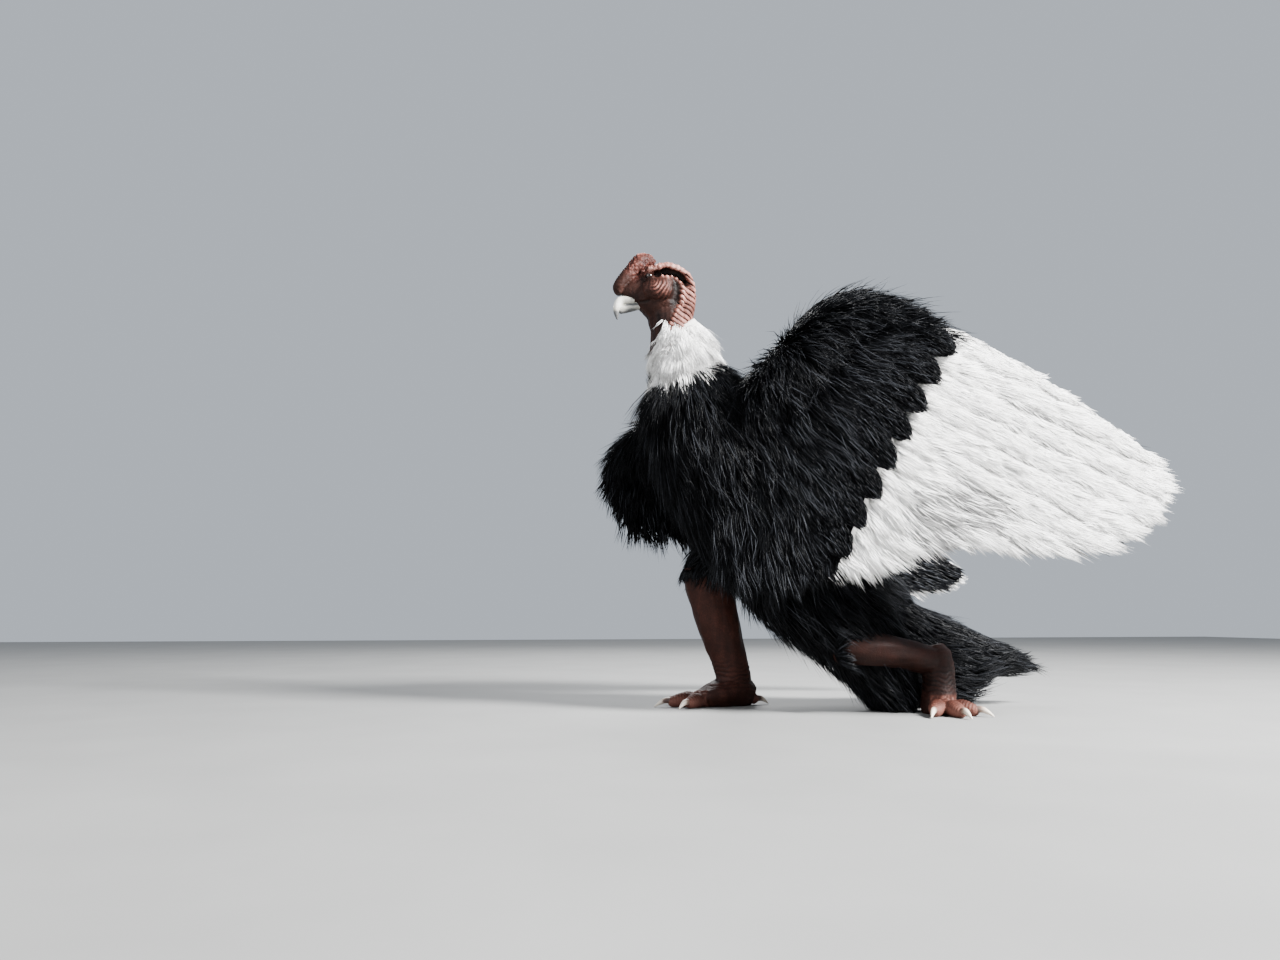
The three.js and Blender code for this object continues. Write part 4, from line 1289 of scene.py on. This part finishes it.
def tuft_faces(rings):
    """The triangles of a tuft: the cap of its root, its sides and its tip."""
    sides = ((0, 1), (1, 2), (2, 0))
    faces = [(0, 2, 1)]
    for low in range(0, 3 * rings - 3, 3):
        for a, b in sides:
            faces += [(low + a, low + b, low + b + 3), (low + a, low + b + 3, low + a + 3)]
    last = 3 * rings - 3
    return np.array(faces + [(last + a, last + b, last + 3) for a, b in sides])


def tuft_points(t, shape):
    """Where the corners of each tuft's rings and its tip lie."""
    places, wides, deeps = shape
    s = np.append(places, 1.0)[None, :, None]
    column = {k: t[k][:, None, None] for k in ("long", "lift", "sag", "curl", "phase", "droop")}
    vector = {k: t[k][:, None, :] for k in ("root", "out", "ahead", "pull")}
    across = np.cross(vector["out"], vector["ahead"])
    sink = ROOT_SINK * np.maximum(0, 1 - 3 * s)
    swing = np.sin(column["phase"] + 4.2 * s) - np.sin(column["phase"])
    line = (vector["root"] + vector["ahead"] * column["long"] * s
            + vector["out"] * (column["lift"] * s - column["sag"] * s**2 - sink)
            + across * column["curl"] * swing * s + vector["pull"] * s**2
            - UP * column["droop"] * s**2)
    wide = (t["wide"][:, None] * wides)[:, :, None, None]
    deep = (t["wide"][:, None] * TUFT_DEPTH * deeps)[:, :, None, None]
    corner = TUFT_CORNERS[None, None, :, :]
    rings = (line[:, :-1, None, :] + across[:, :, None, :] * wide * corner[..., :1]
             + vector["out"][:, :, None, :] * deep * corner[..., 1:])
    points = np.concatenate([rings.reshape(len(line), -1, 3), line[:, -1:, :]], 1)
    upper_corner = np.arange(points.shape[1]) % 3 == 2
    points[..., 2] = np.maximum(points[..., 2], FLOOR_GAP + 0.6 * upper_corner)
    return points


def tuft_unwraps(t, places):
    """Each corner's place in the baked unwrap, and in the one that the hairs are drawn in."""
    number = len(t["root"])
    along = np.append(np.repeat(places, 3), 1.0)
    across = np.append(np.tile(TUFT_ACROSS, len(places)), 0.5)
    local = np.stack([across - 0.5, along - 0.5], 1) * PATCH
    bake = (t["uv"][:, None, :] + local[None]).reshape(-1, 2)
    apart = np.repeat(np.arange(number) * HAIR_STEP, len(along))
    hair = np.stack([np.tile(across, number) + apart, np.tile(along, number)], 1)
    return bake, hair


def tuft_mesh(name, t, shape):
    number, corners = len(t["root"]), 3 * len(shape[0]) + 1
    faces = np.arange(number)[:, None, None] * corners + tuft_faces(len(shape[0]))[None]
    loops = faces.astype(np.int32).ravel()
    points = tuft_points(t, shape).reshape(-1, 3)
    bake, hair = tuft_unwraps(t, shape[0])
    mesh = bpy.data.meshes.new(name)
    mesh.vertices.add(len(points))
    mesh.vertices.foreach_set("co", placed(points).astype(np.float32).ravel())
    mesh.loops.add(len(loops))
    mesh.loops.foreach_set("vertex_index", loops)
    mesh.polygons.add(len(loops) // 3)
    mesh.polygons.foreach_set("loop_start", np.arange(0, len(loops), 3, dtype=np.int32))
    mesh.update(calc_edges=True)
    made = linked(name, mesh)
    mark(made, "along", hair[:, 1])
    mark(made, "tone", np.repeat(t["shade"], corners))
    for label, spots in (("OFBake", bake), ("Hair", hair)):
        layer = mesh.uv_layers.new(name=label)
        layer.uv.foreach_set("vector", spots[loops].astype(np.float32).ravel())
    return made


# Sewn backings under the fur, each lower than its solid by the depth of its pile
torso = profile(TORSO).inset(26)
tail = profile(TAIL, round=2.3).inset(12)
thigh_right = limb(THIGH_RIGHT, ASIDE).inset(20)
thigh_left = profile(THIGH_LEFT, THIGH_LEFT_Y).inset(20)
ruff = profile(RUFF).inset(14)
planes, arms, coverts, fans, lobes = {}, {}, {}, {}, {}
for name, drawn_wing in WINGS.items():
    plane = planes[name] = WingPlane(name)
    arms[name] = rod(drawn_wing["arm"], ASIDE).inset(16)
    coverts[name] = panel(plane, drawn_wing["covert_top"], drawn_wing["covert_foot"],
                          COVERT_THICK, COVERT_OFF, round=2.6).inset(9)
    fans[name] = panel(plane, drawn_wing["fan_top"], drawn_wing["fan_foot"], FAN_THICK,
                       round=2.6).inset(7)
    lobes[name] = [form.inset(6) for form in lobe_forms(name, plane)]


def clamped(made):
    """The piece with nothing of it below the floor."""
    move_to(made, places_of(made))
    return made


def bvh(made):
    return BVHTree.FromObject(made, bpy.context.evaluated_depsgraph_get())


body = clamped(fused("body_backing", [
    torso.shell(30, 40), tail.shell(20, 30), thigh_right.shell(20, 28), thigh_left.shell(24, 28),
    arms["left"].shell(24, 24), arms["right"].shell(20, 24),
], BODY_VOXEL, 2))
finished(body, BLACK_CLOTH, "black_fur", "torso", "tail", "thigh_right", "thigh_left")
collar = clamped(mesh_object("ruff_backing", *ruff.shell(20, 40)))
finished(collar, WHITE_CLOTH, "white_fur", "ruff")
BODY_TREE, HEAD_TREE, RUFF_TREE = bvh(body), bvh(head), bvh(collar)
covert_trees = {}
for name in SIDES:
    shells = [coverts[name].shell(24, 24)] + [form.shell(12, 14) for form in lobes[name]]
    piece = clamped(mesh_object("wing_" + name + "_coverts_backing", *joined(shells)))
    finished(piece, BLACK_CLOTH, "black_fur", "wing_" + name + "_coverts")
    probe = clamped(fused("probe", shells, PROBE_VOXEL, 0))
    covert_trees[name] = bvh(probe)
    bpy.data.objects.remove(probe)
    sheet = clamped(mesh_object("wing_" + name + "_fan_backing", *fans[name].shell(30, 24)))
    mark(sheet, "lining", normals_of(sheet) @ planes[name].out < 0)
    finished(sheet, WHITE_CLOTH, "white_fur", "wing_" + name + "_fan")


# Coats
NOTCH_DEPTH = 45
# Degrees from level at the top of the fan, and how much they change down to its foot
LIE_START, LIE_SWEPT, LIE_REACH = (-20, -38), (-25, 8), 300
CHEST_LOCKS = np.array([-696.0, -30.0, 992.0])
CHEST_REACH, CROWN_REACH = 50, 80
COLLAR_LIE = [-0.25, 0.0, -1.0]
COVERT_PILE = 92
# The wing that faces the camera has the denser coat, and the far one's arm has shorter
# wisps. The far one's arm comes close to the widest that the part may be, so its wisps are
# shorter
SHARE = {"left": 1.0, "right": 0.45}
ARM_TUFTS = {"left": 6300, "right": 4200}
ARM_WISP_LENGTH = {"left": 118, "right": 84}
LOBE_TUFTS = {"left": 950, "right": 450}
WING_SEED = {"left": 200, "right": 220}
# The strips that a fan's fur parts into: how wide each is in radians, and where they start
STRIP_ANGLE, STRIP_START, STRIP_EASE = 0.027, 90, 80
# The hollow low in the fan, where its fur is painted darker as shade, as [along, up] points
HOLLOW = {"left": [[392, -385], [402, -324], [545, -330]], "right": [[640, -300], [760, -290]]}
HOLLOW_WIDTH = 46


# Where fur grows, from the places, normals, shares along and angles of spots on a form
def outer(points, out, u, angle):
    return (np.sin(angle) > 0.02).astype(float)


def inner(points, out, u, angle):
    return (np.sin(angle) < -0.02) * (np.abs(np.cos(angle)) < 0.8) * (u < 0.8) * 1.0


def inner_coverts(points, out, u, angle):
    return (np.sin(angle) < 0.05) * (np.cos(angle) > -0.95) * (u < 0.95) * 1.0


def first_part(points, out, u, angle):
    return (u < 0.1) * 1.0


def low_part(points, out, u, angle):
    return (u > 0.6) * 1.0


def chest_point(points, out, u, angle):
    """The front of the chest just under the collar, where long locks stand out."""
    return bell(np.linalg.norm(points - CHEST_LOCKS, axis=1), CHEST_REACH)


def collar_side(points, out, u, angle):
    """The foot of the neck, and its sides short of the bare front and the folds."""
    x, _, z = points.T
    side = (x > -685 + 0.24 * (z - 1106)) | (z < 1094)
    return side * (z > 1045) * (z < 1186 - 0.35 * (x + 640)) * 1.0


def near_focus(name):
    """The crown that a wing's black fur spreads from."""
    centre = planes[name].place(WINGS[name]["lie_focus"])[0]
    return lambda points, *_: bell(np.linalg.norm(points - centre, axis=1), CROWN_REACH)


def tip_line(name):
    """For points on a wing: how far each lies behind the line of the lobes' tips, and its
    share of the way down that line."""
    first, last = (np.array(tip, float) for tip in WINGS[name]["lobe_tips"])
    ahead = unit(np.array([first[1] - last[1], last[0] - first[0]]))
    down = (last - first) / ((last - first) @ (last - first))

    def read(points):
        away = planes[name].flat(points) - first
        return -(away @ ahead), away @ down

    return read


def on_coverts(name):
    """Where the coverts' pile grows: behind the notches, and past the first and last lobe."""
    read = tip_line(name)

    def keep(points, out, u, angle):
        behind, down = read(points)
        free = (behind > NOTCH_DEPTH + 6) | (down < -0.04) | (down > 1.03)
        return outer(points, out, u, angle) * free

    return keep


# The way fur lies
def one_way(way):
    return lambda points: np.broadcast_to(way, points.shape)


def from_focus(name, focus):
    centre = planes[name].place(WINGS[name][focus])[0]
    return lambda points: unit(points - centre)


def fan_lie(name):
    """The lie of a fan's fur: it leaves the lobes steeply at the foot, and sweeps back."""
    plane, read = planes[name], tip_line(name)

    def lie(points):
        behind, down = read(points)
        down = np.clip(down, -0.1, 1.1)
        start = LIE_START[0] + LIE_START[1] * np.maximum(down, 0) ** 1.4
        sweep = LIE_SWEPT[0] + LIE_SWEPT[1] * down
        turn = np.radians(start + (sweep - start) * ease(-behind, 0, LIE_REACH))[:, None]
        return plane.along * np.cos(turn) + plane.up * np.sin(turn)

    return lie


def strip_place(name):
    """Where across its feather-like strip each point of a fan lies, from -1 to 1."""
    focus = np.array(WINGS[name]["strip_focus"], float)

    def place(points):
        away = planes[name].flat(points) - focus
        turn = np.arctan2(away[:, 1], away[:, 0])
        return ((turn / STRIP_ANGLE) % 1) * 2 - 1

    return place


def parting(name):
    """How close each point of a fan lies to a parting between its strips, from 0 to 1."""
    strip, read = strip_place(name), tip_line(name)
    return lambda points: bell(np.abs(strip(points)) - 1, 0.2) * ease(
        -read(points)[0], STRIP_START, STRIP_START + STRIP_EASE)


def strip_lie(name):
    """The lie of a fan's fur, turned to run along its strips at the partings."""
    lie, part, line = fan_lie(name), parting(name), from_focus(name, "strip_focus")
    return lambda points: blended(lie(points), line(points), part(points)[:, None] ** 0.4)


# How the length, the lift and the tone of fur vary
def short_before_notches(name, length):
    """Shorter where a tuft would reach over the notches between the lobes."""
    read = tip_line(name)
    return lambda points, u, angle: np.clip((read(points)[0] - NOTCH_DEPTH) / length, 0.3, 1.0)


def collar_fade(points, u, angle):
    return (0.6 + 0.4 * ease(u, 0.0, 0.35)) * (1 - 0.5 * ease(u, 0.6, 1.0))


def lobe_fade(points, u, angle):
    return (1 - 0.66 * ease(u, 0.5, 0.9)) * (1 - 0.45 * np.cos(angle)**2)


def fan_fade(name):
    """Shorter towards the fan's end, along its upper edge and at the partings."""
    part = parting(name)
    return lambda points, u, angle: (1 - 0.62 * ease(u, 0.72, 0.97)) * (
        1 - 0.5 * ease(np.cos(angle), 0.75, 1.0)) * (1 - 0.4 * part(points))


def strip_rise(name):
    """Fur that stands up along the middle of each strip and lies flat at its edges."""
    strip = strip_place(name)
    return lambda points: 1.35 - 1.1 * strip(points) ** 4


# Painted shade on a fan's fur: shadow lines along the partings between its strips, and the shaded
# hollow low in the fan
def fan_painted_shade(name):
    part = parting(name)

    def tone(points):
        gap, _ = line_distance(planes[name].flat(points), HOLLOW[name])
        return -0.4 * part(points) - 1.5 * bell(gap, HOLLOW_WIDTH)

    return tone


def black_coat(name, seed, shape=LONG_TUFT):
    return Coat(name, BLACK_FUR, "black_fur", seed, shape)


def white_coat(name, seed):
    return Coat(name, WHITE_FUR, "white_fur", seed, FINE_TUFT)


black_coat("torso_fur", 101).grow(
    torso, 15800, 98, 3.3, 26, sag=12, curl=11, clump=34, gather=0.8, stray=0.32, sway=0.35,
    wisps=0.12, droop=18,
    trees=(HEAD_TREE, RUFF_TREE, covert_trees["left"], covert_trees["right"])).grow(
    torso, 420, 118, 3.3, 58, sag=10, curl=11, clump=34, gather=0.85, stray=0.2, droop=34,
    trees=(HEAD_TREE, RUFF_TREE), keep=chest_point).grow(
    torso, 380, 60, 3.2, 24, sag=6, curl=9, clump=30, gather=0.8, stray=0.3,
    trees=(HEAD_TREE, RUFF_TREE), keep=chest_point, lie=one_way(UP)).finish()
black_coat("tail_fur", 102).grow(
    tail, 4500, 84, 3.6, 20, sag=10, curl=9, clump=28, gather=0.7, stray=0.2, sway=0.25,
    wisps=0.08, droop=4).finish()
black_coat("thigh_fur", 103).grow(
    thigh_left, 4700, 80, 3.6, 22, sag=10, curl=10, clump=30, gather=0.7, stray=0.25, sway=0.3,
    wisps=0.09, droop=14).grow(
    thigh_right, 2700, 70, 3.6, 20, sag=10, curl=10, clump=30, gather=0.7, stray=0.22,
    wisps=0.09, droop=12).finish()
white_coat("ruff_fur", 104).grow(
    ruff, 14500, 74, 2.7, 17, sag=10, curl=9, clump=27, gather=0.85, stray=0.3, sway=0.3,
    wisps=0.12, droop=10, trees=(HEAD_TREE,), fade=collar_fade).grow(
    ruff, 1100, 100, 2.8, 27, sag=14, curl=10, clump=34, gather=0.92, stray=0.35, droop=12,
    trees=(HEAD_TREE,), keep=low_part).grow(
    profile(NECK).inset(-1), 4300, 48, 2.1, 12, sag=6, curl=8, clump=20, gather=0.85, stray=0.45,
    sway=0.2, wisps=0.15, keep=collar_side, lie=one_way(COLLAR_LIE)).finish()


def covert_fur(name):
    """The long black fur of the coverts and the arm, spreading from its crown."""
    lie = from_focus(name, "lie_focus")
    common = {"gather": 0.7, "sag": 8}
    coat = black_coat("wing_" + name + "_covert_fur", WING_SEED[name])
    coat.grow(coverts[name], 10800 * SHARE[name], COVERT_PILE, 3.3, 20, curl=10, clump=32,
              stray=0.3, sway=0.4, wisps=0.11, droop=8, lie=lie, keep=on_coverts(name),
              fade=short_before_notches(name, COVERT_PILE), trees=(BODY_TREE,), **common)
    coat.grow(arms[name], ARM_TUFTS[name], 80, 3.4, 26, curl=12, clump=30, stray=0.4, sway=0.4,
              wisps=0.12, droop=8, lie=lie, **common)
    coat.grow(arms[name], 160, 84, 3.3, 22, curl=12, clump=30, stray=0.4, droop=8,
              lie=one_way(planes[name].along), keep=near_focus(name), **common)
    coat.grow(arms[name], 260, ARM_WISP_LENGTH[name], 3.0, 36, sag=4, curl=20, clump=30,
              gather=0.8, stray=0.5, sway=0.5, lie=lie)
    coat.finish()


def lobe_fur(name):
    coat = black_coat("wing_" + name + "_lobe_fur", WING_SEED[name] + 1, FINE_TUFT)
    for form in lobes[name]:
        coat.grow(form, LOBE_TUFTS[name], 44, 3.2, 9, sag=8, curl=2.5, clump=16, gather=0.2,
                  stray=0.08, wisps=0.08, fade=lobe_fade, trees=(BODY_TREE,))
    coat.finish()


def fan_fur(name):
    white_coat("wing_" + name + "_fan_fur", WING_SEED[name] + 2).grow(
        fans[name], 30000 * SHARE[name], 74, 3.3, 10, sag=7, curl=7, clump=24, gather=0.25,
        stray=0.12, sway=0.25, wisps=0.08, droop=4, lie=strip_lie(name), keep=outer,
        fade=fan_fade(name), rise=strip_rise(name), tone=fan_painted_shade(name),
        trees=(covert_trees[name],)).finish()


def lining_fur(name):
    """The short black pile of the wing's inner face."""
    black_coat("wing_" + name + "_lining_fur", WING_SEED[name] + 3, FINE_TUFT).grow(
        fans[name], 3200, 70, 8, 10, sag=6, curl=5, clump=26, wisps=0.1, lie=fan_lie(name),
        keep=inner).grow(
        coverts[name], 3000, 74, 7, 14, sag=6, curl=5, clump=28, wisps=0.1,
        lie=from_focus(name, "lie_focus"), keep=inner_coverts, trees=(BODY_TREE,)).finish()


for name in SIDES:
    covert_fur(name)
    lobe_fur(name)
    fan_fur(name)
    lining_fur(name)

# Fur that hangs over the tops of the gaiters
black_coat("cuff_fur", 105).grow(
    limb(SHIN["left"]).inset(-2), 520, 66, 4.6, 16, sag=8, curl=7, clump=20, stray=0.3,
    wisps=0.15, keep=first_part).grow(
    limb(SHIN["right"], ASIDE).inset(-2), 620, 34, 3.6, 14, sag=6, curl=7, clump=20, stray=0.25,
    wisps=0.15, keep=first_part).finish()


# Studio
FLOOR_REACH = 9000
SKY_COLOUR, SKY_STRENGTH = (0.62, 0.68, 0.76, 1), 0.85
# Each lamp's name, place and size in metres, and its power in watts
LAMPS = [
    ("key", (3.2, -3.2, 4.0), 1.5, 3150),
    ("fill", (-4.2, -2.2, 2.2), 3.0, 130),
    ("rim", (0.5, 4.2, 3.6), 2.4, 300),
]
LAMP_TARGET = Vector((0, 0, 0.7))
CAMERA_AT = np.array([-1287.7, -2890.2, 280.0])
CAMERA_YAW, CAMERA_PITCH = math.radians(11), math.radians(8)
FOCAL_PIXELS, FRAME_WIDTH = 967.7, 1280


def ground():
    corners = [[-1, -1, 0], [1, -1, 0], [1, 1, 0], [-1, 1, 0]]
    floor = mesh_object("floor", np.array(corners) * FLOOR_REACH - SHIFT, [(0, 1, 2, 3)])
    material, tree, shader = new_material("pale floor", Roughness=0.7)
    grain = node(tree, "ShaderNodeTexNoise", Vector=scaled(tree), Scale=3.0, Detail=4.0)
    shades = [(0.3, (0.18, 0.18, 0.176)), (0.7, (0.2, 0.2, 0.195))]
    fill(tree, shader, Base_Color=ramp(tree, grain.outputs["Fac"], shades))
    floor.data.materials.append(material)


def sky():
    world = bpy.data.worlds.new("studio")
    world.use_nodes = True
    fill(world.node_tree, world.node_tree.nodes["Background"], Color=SKY_COLOUR,
         Strength=SKY_STRENGTH)
    bpy.context.scene.world = world


def aimed(made, ahead):
    """Turns a lamp or a camera to look ahead."""
    made.rotation_euler = ahead.to_track_quat("-Z", "Y").to_euler()


def lamps():
    for name, spot, size, power in LAMPS:
        lamp = bpy.data.lights.new(name, "AREA")
        lamp.size, lamp.energy = size, power
        made = linked(name, lamp)
        made.location = spot
        aimed(made, LAMP_TARGET - Vector(spot))


def photo_camera():
    data = bpy.data.cameras.new("camera")
    data.sensor_fit = "HORIZONTAL"
    data.sensor_width = 36
    data.lens = data.sensor_width * FOCAL_PIXELS / FRAME_WIDTH
    made = linked("camera", data)
    made.location = placed(CAMERA_AT)
    aimed(made, Vector((math.sin(CAMERA_YAW) * math.cos(CAMERA_PITCH),
                        math.cos(CAMERA_YAW) * math.cos(CAMERA_PITCH), math.sin(CAMERA_PITCH))))
    bpy.context.scene.camera = made


ground()
sky()
lamps()
photo_camera()
